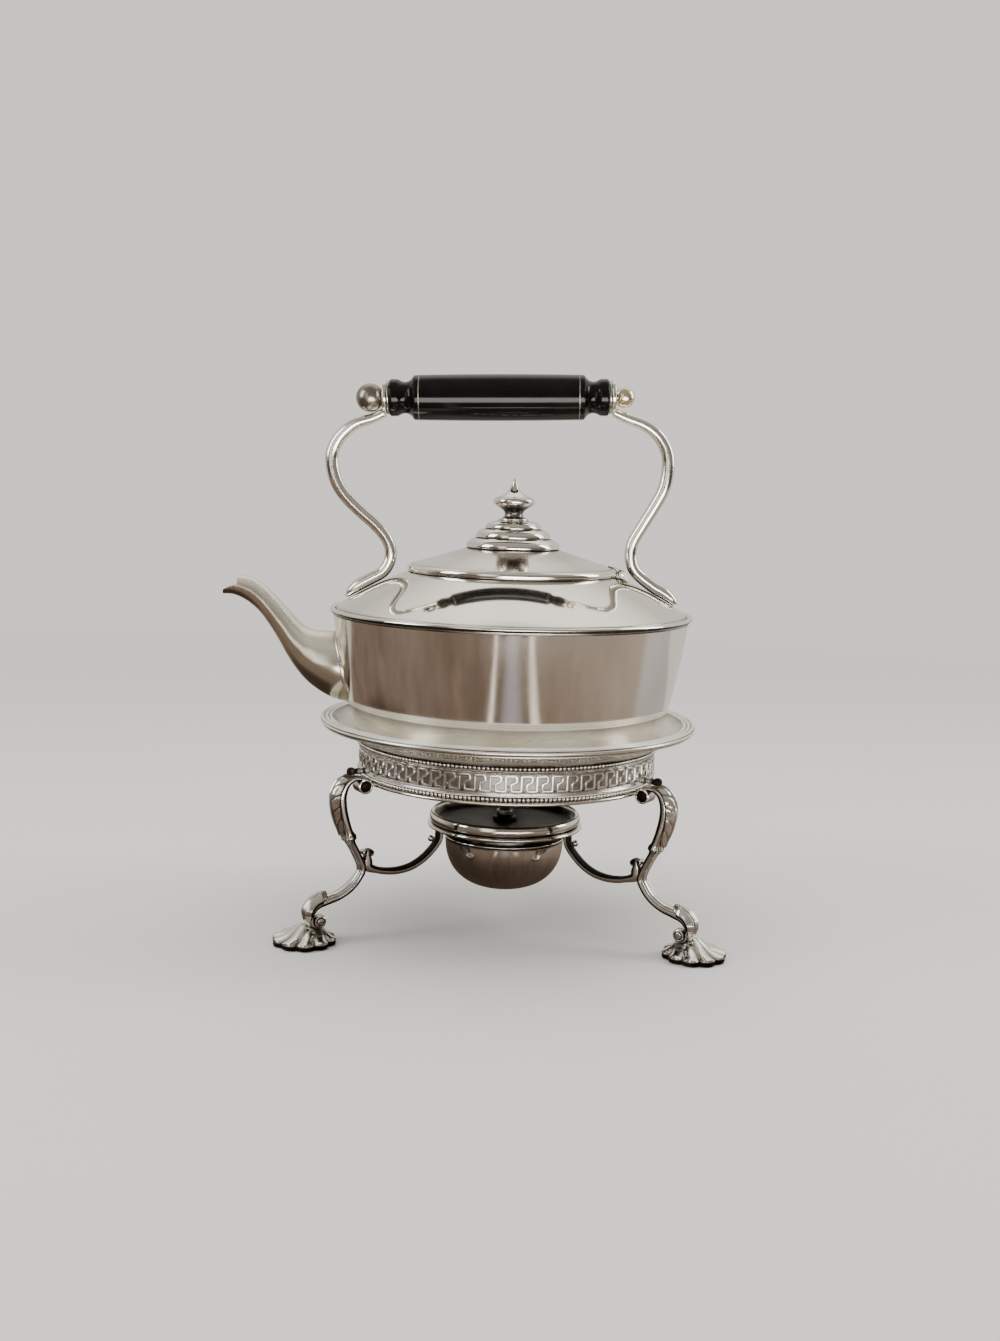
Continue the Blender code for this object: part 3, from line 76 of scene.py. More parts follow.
class Shade:
    """A socket of a material. Sums written with it add the Math nodes that they need."""

    def __init__(self, sheet: "Sheet", socket: bpy.types.NodeSocket) -> None:
        """Wraps one socket.

        Args:
            sheet: The sheet that the socket is on.
            socket: The output to wrap.
        """
        self.sheet = sheet
        self.socket = socket

    def sum_of(self, operation: str, first: "Shade | float", second: "Shade | float") -> "Shade":
        """Adds one Math node.

        Args:
            operation: The node's operation.
            first: Its first value.
            second: Its second value.

        Returns:
            The node's result.
        """
        return self.sheet.node("ShaderNodeMath", {"operation": operation}, {0: first, 1: second})

    def __add__(self, other: "Shade | float") -> "Shade":
        """Gives self + other."""
        return self.sum_of("ADD", self, other)

    def __radd__(self, other: float) -> "Shade":
        """Gives other + self."""
        return self.sum_of("ADD", other, self)

    def __sub__(self, other: "Shade | float") -> "Shade":
        """Gives self - other."""
        return self.sum_of("SUBTRACT", self, other)

    def __rsub__(self, other: float) -> "Shade":
        """Gives other - self."""
        return self.sum_of("SUBTRACT", other, self)

    def __mul__(self, other: "Shade | float") -> "Shade":
        """Gives self * other."""
        return self.sum_of("MULTIPLY", self, other)

    def __rmul__(self, other: float) -> "Shade":
        """Gives other * self."""
        return self.sum_of("MULTIPLY", other, self)

    def __truediv__(self, other: "Shade | float") -> "Shade":
        """Gives self / other."""
        return self.sum_of("DIVIDE", self, other)

    def __rtruediv__(self, other: float) -> "Shade":
        """Gives other / self."""
        return self.sum_of("DIVIDE", other, self)

    def __pow__(self, power: float) -> "Shade":
        """Gives self to a power."""
        return self.sum_of("POWER", self, power)

    def between(self, low: float, high: float) -> "Shade":
        """Maps low to high onto 0 to 1 and stops there.

        Args:
            low: The value that gives 0.
            high: The value that gives 1.

        Returns:
            The mapped value.
        """
        sockets = {"Value": self, "From Min": low, "From Max": high}
        return self.sheet.node("ShaderNodeMapRange", {"clamp": True}, sockets)


class Sheet:
    """The nodes of one material or of the world."""

    def __init__(self, tree: bpy.types.NodeTree) -> None:
        """Wraps a node tree.

        Args:
            tree: The tree that nodes are added to.
        """
        self.tree = tree

    def node(
        self,
        kind: str,
        settings: dict[str, object] | None = None,
        sockets: dict[int | str, object] | None = None,
        output: int | str = 0,
    ) -> Shade:
        """Adds a node, sets it up and feeds it.

        Args:
            kind: The node's type.
            settings: Its properties.
            sockets: Values or shades by input name or number.
            output: The output to hand back.

        Returns:
            The chosen output.
        """
        made = self.tree.nodes.new(kind)
        for key, value in (settings or {}).items():
            setattr(made, key, value)
        self.feed(made, sockets or {})
        return Shade(self, made.outputs[output])

    def feed(self, node: bpy.types.Node, sockets: dict[int | str, object]) -> None:
        """Links shades to a node's inputs and sets the inputs that stay the same.

        Args:
            node: The node.
            sockets: Values or shades by input name or number.
        """
        for key, value in sockets.items():
            if isinstance(value, Shade):
                self.tree.links.new(value.socket, node.inputs[key])
            else:
                node.inputs[key].default_value = value

    def texture(self, source: str) -> Shade:
        """Gives a texture coordinate by its name."""
        return self.node("ShaderNodeTexCoord", output=source)

    def coordinate(self, place: Shade, index: int) -> Shade:
        """Gives one coordinate of a vector."""
        return self.node("ShaderNodeSeparateXYZ", {}, {0: place}, index)

    def mix(self, factor: Shade | float, first: Shade | Colour, second: Shade | Colour) -> Shade:
        """Mixes two colours.

        Args:
            factor: The share of the second colour.
            first: The colour at 0.
            second: The colour at 1.

        Returns:
            The mixed colour.
        """
        settings = {"data_type": "RGBA", "clamp_factor": True}
        return self.node("ShaderNodeMix", settings, {0: factor, 6: first, 7: second}, 2)

    def noise(self, place: Shade, scale: float, detail: float = 2.0, rough: float = 0.5) -> Shade:
        """Gives soft noise from 0 to 1.

        Args:
            place: The vector it is read at.
            scale: Its number of cells in a metre.
            detail: Its octaves.
            rough: The strength of each finer octave.

        Returns:
            The noise.
        """
        sockets = {"Vector": place, "Scale": scale, "Detail": detail, "Roughness": rough}
        return self.node("ShaderNodeTexNoise", {}, sockets)

    def stretched(self, place: Shade, scale: tuple[float, float, float]) -> Shade:
        """Scales a vector along each axis."""
        sockets = {0: place, 1: scale}
        return self.node("ShaderNodeVectorMath", {"operation": "MULTIPLY"}, sockets)

    def bump(self, height: Shade, distance: float, strength: float = 1.0) -> Shade:
        """Turns a height into a normal.

        Args:
            height: The height, from 0 to 1.
            distance: How far 1 stands out, in metres.
            strength: The share of the effect.

        Returns:
            The normal.
        """
        sockets = {"Height": height, "Distance": distance, "Strength": strength}
        return self.node("ShaderNodeBump", {}, sockets)


def new_material(name: str) -> tuple[bpy.types.Material, Sheet, bpy.types.Node]:
    """Makes a material.

    Args:
        name: Its name.

    Returns:
        The material, its sheet and its Principled BSDF.
    """
    material = bpy.data.materials.new(name)
    material.use_nodes = True
    shader = material.node_tree.nodes["Principled BSDF"]
    return material, Sheet(material.node_tree), shader


# Finishes

@dataclass(frozen=True)
class MetalFinish:
    """Silver plate or brass, with tarnish, wiping marks, turning lines, oxide in its grooves and painted
    shade.

    The per-point darkening value mixes the plate towards the oxide colour, both for oxide in grooves and for
    painted shade on undersides and under edges. A haze, where there is one, dulls the faces that look up.
    """

    name: str
    clean: Colour
    # The oxide colour also serves as painted shade on undersides and under edges.
    tarnished: Colour
    oxide: Colour
    roughness: float
    tarnish: float = 0.25
    wiping: float = 0.06
    lines: float = 0.5
    pits: float = 0.0
    hammering: float = 0.0
    haze: float = 0.0
    axis: tuple[float, float] = (0.0, 0.0)

    def build(self) -> bpy.types.Material:
        """Makes the material."""
        material, sheet, shader = new_material(self.name)
        place = sheet.texture("Object")
        oxide_and_shade = sheet.node("ShaderNodeAttribute", {"attribute_name": "oxide_and_shade"}, output="Fac")
        polar = self.polar(sheet, place)
        stain = sheet.noise(place, 42.0, 5.0, 0.6).between(0.42, 0.72)
        freckle = sheet.noise(place, 900.0, 2.0).between(0.60, 0.78)
        wiping = sheet.noise(sheet.stretched(polar, (3.0, 260.0, 260.0)), 1.0, 3.0)
        # Painted shade: the per-point darkening mixes towards the oxide colour, for oxide in grooves and for
        # shade on undersides and under edges.
        oxide_and_shade_amount = (oxide_and_shade + oxide_and_shade * stain * 0.5).between(0.05, 0.95)
        tint = sheet.mix(stain * self.tarnish, self.clean, self.tarnished)
        tint = sheet.mix(freckle * (0.25 * self.tarnish), tint, self.oxide)
        metallic = 1.0
        if self.haze:
            upward = sheet.coordinate(sheet.texture("Normal"), 2).between(0.15, 0.60)
            metallic = 1 - upward * self.haze
        sheet.feed(shader, {
            "Base Color": sheet.mix(oxide_and_shade_amount, tint, self.oxide),
            "Roughness": self.roughness + wiping * self.wiping + oxide_and_shade_amount * 0.30 + stain * (0.10 * self.tarnish),
            "Normal": self.relief(sheet, place, polar, oxide_and_shade_amount),
            "Metallic": metallic,
        })
        return material

    def polar(self, sheet: Sheet, place: Shade) -> Shade:
        """Turns a place into (angle, radius, height) about the finish's axis.

        Args:
            sheet: The material's sheet.
            place: The place to turn.

        Returns:
            The turned place.
        """
        x = sheet.coordinate(place, 0) - self.axis[0]
        y = sheet.coordinate(place, 1) - self.axis[1]
        angle = x.sum_of("ARCTAN2", y, x)
        radius = (x * x + y * y) ** 0.5
        return sheet.node("ShaderNodeCombineXYZ", {}, {0: angle, 1: radius, 2: sheet.coordinate(place, 2)})

    def relief(self, sheet: Sheet, place: Shade, polar: Shade, oxide_and_shade_amount: Shade) -> Shade:
        """Gives the normal of the fine relief.

        Args:
            sheet: The material's sheet.
            place: The place in the piece.
            polar: The place about the finish's axis.
            oxide_and_shade_amount: How much oxide and painted shade lie there.

        Returns:
            The normal.
        """
        lines = sheet.noise(sheet.stretched(polar, (0.9, 2100.0, 2100.0)), 1.0, 2.0)
        ripples = sheet.noise(sheet.stretched(polar, (2.0, 450.0, 450.0)), 1.0, 1.0)
        grit = sheet.noise(place, 2400.0, 2.0)
        waves = sheet.noise(place, 38.0, 1.0)
        height = lines * (0.022 * self.lines) + grit * (oxide_and_shade_amount * 0.5 + self.pits * 0.25)
        height = height + waves * (3.0 * self.hammering) + ripples * (0.05 * self.lines)
        return sheet.bump(height, 0.0001)


@dataclass(frozen=True)
class WoodFinish:
    """Black-stained turned wood under a worn polish."""

    name: str = "ebonised_grip_wood"
    dark: Colour = (0.003, 0.0028, 0.0030, 1.0)
    worn: Colour = (0.013, 0.008, 0.006, 1.0)

    def build(self) -> bpy.types.Material:
        """Makes the material."""
        material, sheet, shader = new_material(self.name)
        place = sheet.texture("Object")
        grain = sheet.noise(sheet.stretched(place, (60.0, 1500.0, 1500.0)), 1.0, 4.0, 0.65)
        rubbed = sheet.noise(place, 55.0, 4.0, 0.6).between(0.45, 0.75)
        sheet.feed(shader, {
            "Base Color": sheet.mix(grain.between(0.35, 0.75) * 0.5 + rubbed * 0.4, self.dark, self.worn),
            "Roughness": 0.10 + rubbed * 0.07 + grain * 0.06,
            "Normal": sheet.bump(grain, 0.00001, 0.5),
            "Specular IOR Level": 0.16,
            "Coat Weight": 0.16,
            "Coat Roughness": 0.03,
        })
        return material


@dataclass(frozen=True)
class CottonFinish:
    """Plaited wick cotton with a charred tip."""

    name: str = "plaited_wick_cotton"
    clean: Colour = (0.52, 0.45, 0.34, 1.0)
    shaded: Colour = (0.24, 0.19, 0.13, 1.0)
    charred: Colour = (0.012, 0.010, 0.009, 1.0)
    char_height: float = 0.0595
    char_fade: float = 0.0016

    def build(self) -> bpy.types.Material:
        """Makes the material."""
        material, sheet, shader = new_material(self.name)
        place = sheet.texture("Object")
        ragged = sheet.coordinate(place, 2) + (sheet.noise(place, 900.0, 3.0) - 0.5) * self.char_fade
        burnt = ragged.between(self.char_height, self.char_height + self.char_fade)
        settings = {"wave_type": "BANDS", "bands_direction": "DIAGONAL"}
        threads = []
        for lean in (1.0, -1.0):
            skew = sheet.stretched(place, (1300.0, 1300.0 * lean, 2100.0 * lean))
            threads.append(sheet.node("ShaderNodeTexWave", settings, {"Vector": skew, "Scale": 1.0}, 1))
        plait = threads[0].sum_of("MAXIMUM", threads[0], threads[1])
        sheet.feed(shader, {
            "Base Color": sheet.mix(burnt, sheet.mix(plait, self.shaded, self.clean), self.charred),
            "Normal": sheet.bump(plait, 0.00025),
            "Roughness": 0.95,
        })
        return material


class Look(Enum):
    """Finishes by the record's material slot that each belongs to."""

    WALL = ("wall", "polished_plate")
    PLATE = ("plate", "polished_plate")
    ARM = ("arm", "polished_plate")
    BURNER = ("burner", "polished_plate")
    SPOUT = ("spout", "worn_plate")
    FLANGE = ("flange", "polished_plate")
    AGED = ("aged", "aged_plate")
    KNOB = ("knob", "aged_plate")
    BRASS = ("brass", "bared_brass")
    WOOD = ("wood", "ebonised_wood")
    COTTON = ("cotton", "wick_cotton")

    @property
    def slot(self) -> str:
        """Name of the record's slot."""
        return self.value[1]


SILVER = (0.90, 0.87, 0.80, 1.0)
WARM_SILVER = (0.76, 0.70, 0.54, 1.0)
# Oxide colour, also used as painted shade.
OXIDE_AND_SHADE_COLOUR = (0.055, 0.043, 0.034, 1.0)


def palette(axis: tuple[float, float]) -> dict[Look, bpy.types.Material]:
    """Makes every finish of the object.

    Args:
        axis: The kettle's axis in plan, for the turning lines.

    Returns:
        The materials by look.
    """
    def plate(name: str, **changes: object) -> bpy.types.Material:
        """Makes silver plate with some values changed."""
        values = {"clean": SILVER, "tarnished": WARM_SILVER, "oxide": OXIDE_AND_SHADE_COLOUR, "roughness": 0.035}
        return MetalFinish(name=name, axis=axis, **{**values, **changes}).build()

    return {
        Look.WALL: plate("spun_kettle_plate", roughness=0.07, tarnish=0.35, lines=1.0, hammering=0.02),
        Look.PLATE: plate("polished_plate_looks", clean=(0.92, 0.89, 0.82, 1.0), lines=0.3, hammering=0.03),
        Look.FLANGE: plate(
            "brushed_flange_plate", clean=(0.96, 0.93, 0.85, 1.0), roughness=0.16, tarnish=0.40, wiping=0.12,
            lines=1.0, haze=0.75,
        ),
        Look.ARM: plate(
            "handle_arm_plate", clean=(0.90, 0.87, 0.79, 1.0), roughness=0.11, wiping=0.10, lines=0.0,
        ),
        Look.BURNER: plate(
            "burner_plate", tarnished=(0.66, 0.55, 0.40, 1.0), oxide=(0.014, 0.013, 0.012, 1.0),
            roughness=0.05, tarnish=0.45,
        ),
        Look.SPOUT: plate(
            "worn_spout_plate", clean=(0.86, 0.82, 0.71, 1.0), tarnished=(0.60, 0.50, 0.34, 1.0),
            roughness=0.13, tarnish=0.7, wiping=0.10, lines=0.0, pits=0.22, haze=0.45,
        ),
        Look.AGED: plate(
            "cast_stand_plate", clean=(0.91, 0.88, 0.82, 1.0), oxide=(0.022, 0.018, 0.015, 1.0),
            roughness=0.12, tarnish=0.35, lines=0.0, pits=0.08,
        ),
        Look.KNOB: plate(
            "dull_nut_plate", clean=(0.22, 0.205, 0.175, 1.0), roughness=0.24, tarnish=0.5, pits=0.3,
        ),
        Look.BRASS: plate(
            "bared_brass_looks", clean=(0.84, 0.75, 0.53, 1.0), tarnished=(0.60, 0.46, 0.25, 1.0),
            roughness=0.20, tarnish=0.6, pits=0.3,
        ),
        Look.WOOD: WoodFinish().build(),
        Look.COTTON: CottonFinish().build(),
    }


# Forms

@dataclass
class Form:
    """Points and faces of a piece, and how dark each point is made, from 0 to 1: oxide in grooves, and
    painted shade on undersides and under edges.
    """

    points: np.ndarray
    faces: list[tuple[int, ...]]
    oxide_and_shade: np.ndarray

    def __add__(self, other: "Form") -> "Form":
        """Puts two forms together."""
        shift = len(self.points)
        faces = self.faces + [tuple(index + shift for index in face) for face in other.faces]
        points = np.vstack((self.points, other.points))
        return Form(points, faces, np.concatenate((self.oxide_and_shade, other.oxide_and_shade)))

    def moved(self, matrix: Matrix) -> "Form":
        """Gives the form turned and moved by a matrix."""
        turn = np.array(matrix)
        return Form(self.points @ turn[:3, :3].T + turn[:3, 3], self.faces, self.oxide_and_shade)

    def outward(self) -> "Form":
        """Gives the form with its faces pointing out."""
        fans = [(face[0], *pair) for face in self.faces for pair in zip(face[1:], face[2:])]
        first, second, third = (self.points[list(corners)] for corners in zip(*fans))
        if np.sum(first * np.cross(second, third)) >= 0:
            return self
        return Form(self.points, [face[::-1] for face in self.faces], self.oxide_and_shade)

    def as_object(self, name: str, crease: float = 32.0) -> bpy.types.Object:
        """Makes a smooth-shaded object.

        Args:
            name: Its name.
            crease: The angle between faces from which an edge is shaded sharp, in degrees.

        Returns:
            The linked object.
        """
        mesh = bpy.data.meshes.new(name)
        mesh.from_pydata(self.points.tolist(), [], self.faces)
        depth = mesh.attributes.new("oxide_and_shade", "FLOAT", "POINT")
        depth.data.foreach_set("value", self.oxide_and_shade.astype(np.float32))
        mesh.shade_smooth()
        mesh.set_sharp_from_angle(angle=math.radians(crease))
        mesh.update()
        piece = bpy.data.objects.new(name, mesh)
        bpy.context.scene.collection.objects.link(piece)
        return piece


def smooth(points: Sequence[Point], steps: int) -> list[Point]:
    """Runs a Catmull-Rom curve through points.

    Args:
        points: The knots, each of any length.
        steps: Steps between two knots.

    Returns:
        Points on the curve.
    """
    knots = np.array(points, float)
    knots = np.vstack((2 * knots[0] - knots[1], knots, 2 * knots[-1] - knots[-2]))
    curve = []
    for a, b, c, d in zip(knots, knots[1:], knots[2:], knots[3:]):
        for step in range(steps):
            t = step / steps
            bend = (2 * a - 5 * b + 4 * c - d) * t ** 2 + (3 * b - a - 3 * c + d) * t ** 3
            curve.append(tuple((2 * b + (c - a) * t + bend) / 2))
    curve.append(tuple(knots[-2]))
    return curve


def rounded(corners: Sequence[Corner], steps: int = 4, closed: bool = True) -> list[Point]:
    """Rounds the corners of an outline.

    Args:
        corners: (radius, height, length rounded off each side, recess).
        steps: Steps round a corner.
        closed: Whether the last corner joins the first.

    Returns:
        (radius, height, recess) points.
    """
    outline = []
    last = len(corners) - 1
    for index, (x, z, cut, oxide_and_shade) in enumerate(corners):
        middle = np.array((x, z))
        if cut <= 0 or (not closed and index in (0, last)):
            outline.append((x, z, oxide_and_shade))
            continue
        sides = []
        for near in (corners[index - 1], corners[(index + 1) % len(corners)]):
            way = np.array(near[:2]) - middle
            length = float(np.linalg.norm(way))
            sides.append(middle + way / length * min(cut, 0.45 * length))
        for step in range(steps + 1):
            t = step / steps
            spot = (1 - t) ** 2 * sides[0] + 2 * t * (1 - t) * middle + t ** 2 * sides[1]
            outline.append((spot[0], spot[1], oxide_and_shade))
    return outline


def arc(
    centre: Point, radii: Point, start: float, end: float, steps: int, oxide_and_shade: float = 0.0
) -> list[Point]:
    """Gives points on an elliptic arc.

    Args:
        centre: Its centre.
        radii: Its two radii.
        start: Where it starts, in degrees.
        end: Where it ends, in degrees.
        steps: Its steps.
        oxide_and_shade: How deep it lies.

    Returns:
        (radius, height, recess) points.
    """
    angles = np.radians(np.linspace(start, end, steps + 1))
    return [
        (centre[0] + radii[0] * math.cos(angle), centre[1] + radii[1] * math.sin(angle), oxide_and_shade)
        for angle in angles
    ]


def turned(outline: Sequence[Point], sides: int = 160) -> Form:
    """Turns a closed outline about the Z axis.

    Args:
        outline: (radius, height) or (radius, height, recess) points.
        sides: Steps round the axis.

    Returns:
        The turned form.
    """
    angles = np.arange(sides) * math.tau / sides
    round_points = np.column_stack((np.cos(angles), np.sin(angles)))
    points, oxide_and_shade, rows = [], [], []
    for radius, height, *depth in outline:
        count = 1 if radius < 1e-7 else sides
        rows.append(list(range(len(points), len(points) + count)))
        for x, y in round_points[:count]:
            points.append((max(radius, 0.0) * x, max(radius, 0.0) * y, height))
            oxide_and_shade.append(depth[0] if depth else 0.0)
    faces = []
    for index, row in enumerate(rows):
        before = rows[index - 1]
        for step in range(sides):
            after = (step + 1) % sides
            if len(row) > 1 and len(before) > 1:
                faces.append((before[step], before[after], row[after], row[step]))
            elif len(row) > 1:
                faces.append((before[0], row[after], row[step]))
            elif len(before) > 1:
                faces.append((before[step], before[after], row[0]))
    return Form(np.array(points), faces, np.array(oxide_and_shade))


def skinned(rows: np.ndarray, oxide_and_shade: np.ndarray, ring: bool = False) -> Form:
    """Skins rows of points, each row a closed loop.

    Args:
        rows: Points by row and place in the row.
        oxide_and_shade: Recess by row and place.
        ring: Whether the last row joins the first. Otherwise both ends are capped.

    Returns:
        The skinned form.
    """
    count, width = rows.shape[:2]
    faces = []
    for row in range(count if ring else count - 1):
        here, there = row * width, (row + 1) % count * width
        for step in range(width):
            after = (step + 1) % width
            faces.append((here + step, here + after, there + after, there + step))
    if not ring:
        faces.append(tuple(range(width))[::-1])
        faces.append(tuple(range((count - 1) * width, count * width)))
    return Form(rows.reshape(-1, 3), faces, oxide_and_shade.reshape(-1))


Section = Callable[[float], list[Point]]


def swept(stations: Sequence[Point], section: Section) -> Form:
    """Sweeps a section along stations in the XZ plane.

    Args:
        stations: (x, z, thickness, width) of each.
        section: Gives (side, rise, recess) points for a place from 0 to 1 on the way. Side is a
            share of the width along Y, rise is a share of the thickness across the path.

    Returns:
        The swept form.
    """
    rows, depths = [], []
    last = len(stations) - 1
    for index, (x, z, thickness, width) in enumerate(stations):
        before, after = stations[max(index - 1, 0)], stations[min(index + 1, last)]
        along = Vector((after[0] - before[0], after[1] - before[1])).normalized()
        loop = section(index / last)
        rows.append([
            (x - along.y * rise * thickness, side * width, z + along.x * rise * thickness)
            for side, rise, _ in loop
        ])
        depths.append([oxide_and_shade for _, _, oxide_and_shade in loop])
    return skinned(np.array(rows), np.array(depths))


def beads(centres: Sequence[Point], radius: float, sides: int = 12, oxide_and_shade: float = 0.0) -> Form:
    """Sets a small ball at each place.

    Args:
        centres: The places.
        radius: The balls' radius.
        sides: Steps round a ball.
        oxide_and_shade: Recess of the balls.

    Returns:
        All the balls as one form.
    """
    ball = turned(arc((0, 0), (radius, radius), -90, 90, sides // 2, oxide_and_shade), sides)
    points = np.vstack([ball.points + np.array(centre) for centre in centres])
    size = len(ball.points)
    faces = [
        tuple(corner + index * size for corner in face)
        for index in range(len(centres))
        for face in ball.faces
    ]
    return Form(points, faces, np.tile(ball.oxide_and_shade, len(centres)))


def prism(outline: Sequence[Point], low: float, high: float, bevel: float) -> Form:
    """Extrudes an outline along Y with bevelled ends.

    Args:
        outline: (x, z) points.
        low: Y of the near end.
        high: Y of the far end.
        bevel: Width of the bevel.

    Returns:
        The prism.
    """
    flat = np.array([point[:2] for point in outline])
    before, after = np.roll(flat, 1, axis=0), np.roll(flat, -1, axis=0)
    along = after - before
    along /= np.linalg.norm(along, axis=1, keepdims=True)
    turn = 1.0 if np.sum(before[:, 0] * flat[:, 1] - flat[:, 0] * before[:, 1]) > 0 else -1.0
    inset = flat + turn * bevel * np.column_stack((-along[:, 1], along[:, 0]))
    rows = [
        [(x, y, z) for x, z in loop]
        for loop, y in ((inset, low), (flat, low + bevel), (flat, high - bevel), (inset, high))
    ]
    return skinned(np.array(rows), np.zeros((4, len(flat))))


def tube(path: np.ndarray, outward: np.ndarray, radius: float, oxide_and_shade: float) -> Form:
    """Lays a round bead along a closed path.

    Args:
        path: Its points.
        outward: A direction off the surface that it lies on, at each point.
        radius: Its radius.
        oxide_and_shade: Its recess.

    Returns:
        The bead.
    """
    along = np.roll(path, -1, axis=0) - np.roll(path, 1, axis=0)
    along /= np.linalg.norm(along, axis=1, keepdims=True)
    across = np.cross(along, outward)
    across /= np.linalg.norm(across, axis=1, keepdims=True)
    up = np.cross(across, along)
    angles = np.arange(10) * math.tau / 10
    rows = np.array([
        [spot + radius * (math.cos(a) * u + math.sin(a) * v) for a in angles]
        for spot, u, v in zip(path, up, across)
    ])
    return skinned(rows, np.full(rows.shape[:2], oxide_and_shade), ring=True)


def step_between(low: float, high: float, value: np.ndarray | float) -> np.ndarray | float:
    """Rises smoothly from 0 at low to 1 at high."""
    share = np.clip((value - low) / (high - low), 0.0, 1.0)
    return share * share * (3 - 2 * share)


def hollow_near(value: float, middle: float, width: float) -> float:
    """Gives a bell of height 1 at a place, for grooves and ribs."""
    return math.exp(-(((value - middle) / width) ** 2))


def squarish(angle: float, power: float) -> tuple[float, float]:
    """Gives a point of a loop of width 1, round at power 1 and nearly square at a low power."""
    across, up = math.cos(angle), math.sin(angle)
    return 0.5 * math.copysign(abs(across) ** power, across), 0.5 * math.copysign(abs(up) ** power, up)


def mirrored(side: Sequence[Point]) -> list[Point]:
    """Gives the other half of an outline that is the same over and under height 0."""
    return [(radius, -height, depth) for radius, height, depth in reversed(side)]


def shoulder_rise(radius: float) -> float:
    """Gives the height of the slightly convex shoulder over the kettle's base at a radius."""
    inwards = SHOULDER_EDGE[0] - radius
    share = max(0.0, min(1.0, inwards / SHOULDER_RUN))
    straight = SHOULDER_EDGE[1] + inwards * math.tan(SHOULDER_SLOPE)
    return straight + 4 * SHOULDER_BULGE * share * (1 - share)


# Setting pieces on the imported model

class Workshop:
    """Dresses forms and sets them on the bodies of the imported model."""

    def __init__(self) -> None:
        """Finds the kettle's axis and makes the finishes."""
        low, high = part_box("key_band")
        self.axis = ((low.x + high.x) / 2, (low.y + high.y) / 2)
        self.finishes = palette(self.axis)

    def upright(self, height: float = 0.0) -> Matrix:
        """Gives the place on the kettle's axis at a height."""
        return Matrix.Translation((*self.axis, height))

    def leg(self, side: str) -> Matrix:
        """Gives the frame of a leg, with X out from the axis."""
        return self.upright() @ Matrix.Rotation(math.radians(LEG_ANGLES[side]), 4, "Z")

    def add(self, form: Form, name: str, body: str, look: Look, *nodes: str) -> bpy.types.Object:
        """Sets one dressed piece on a body.

        Args:
            form: The piece's form, in the frame of the model.
            name: Its name.
            body: The body that it rides on.
            look: Its finish.
            nodes: The solids that it stands for.

        Returns:
            The piece.
        """
        piece = form.outward().as_object(name)
        piece.data.materials.append(self.finishes[look])
        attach(piece, body)
        if nodes:
            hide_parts(*nodes)
        LOG.info("%s: %d faces, for %s", name, len(form.faces), ", ".join(nodes) or "no solid")
        return piece

    def add_all(self, body: str, place: Matrix, *rows: tuple[Form | Look | str, ...]) -> None:
        """Sets several pieces on one body.

        Args:
            body: The body that they ride on.
            place: Where their forms go.
            rows: The form, the name, the look and the solids of each.
        """
        for form, name, look, *nodes in rows:
            self.add(form.moved(place), name, body, look, *nodes)

    def dress(self, node: str, look: Look) -> None:
        """Gives a solid that stays as it is its finish.

        Args:
            node: The solid's name.
            look: Its finish.
        """
        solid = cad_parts[node]
        solid.data.materials.clear()
        solid.data.materials.append(self.finishes[look])
        LOG.info("%s: kept as the solid", node)


# Stand

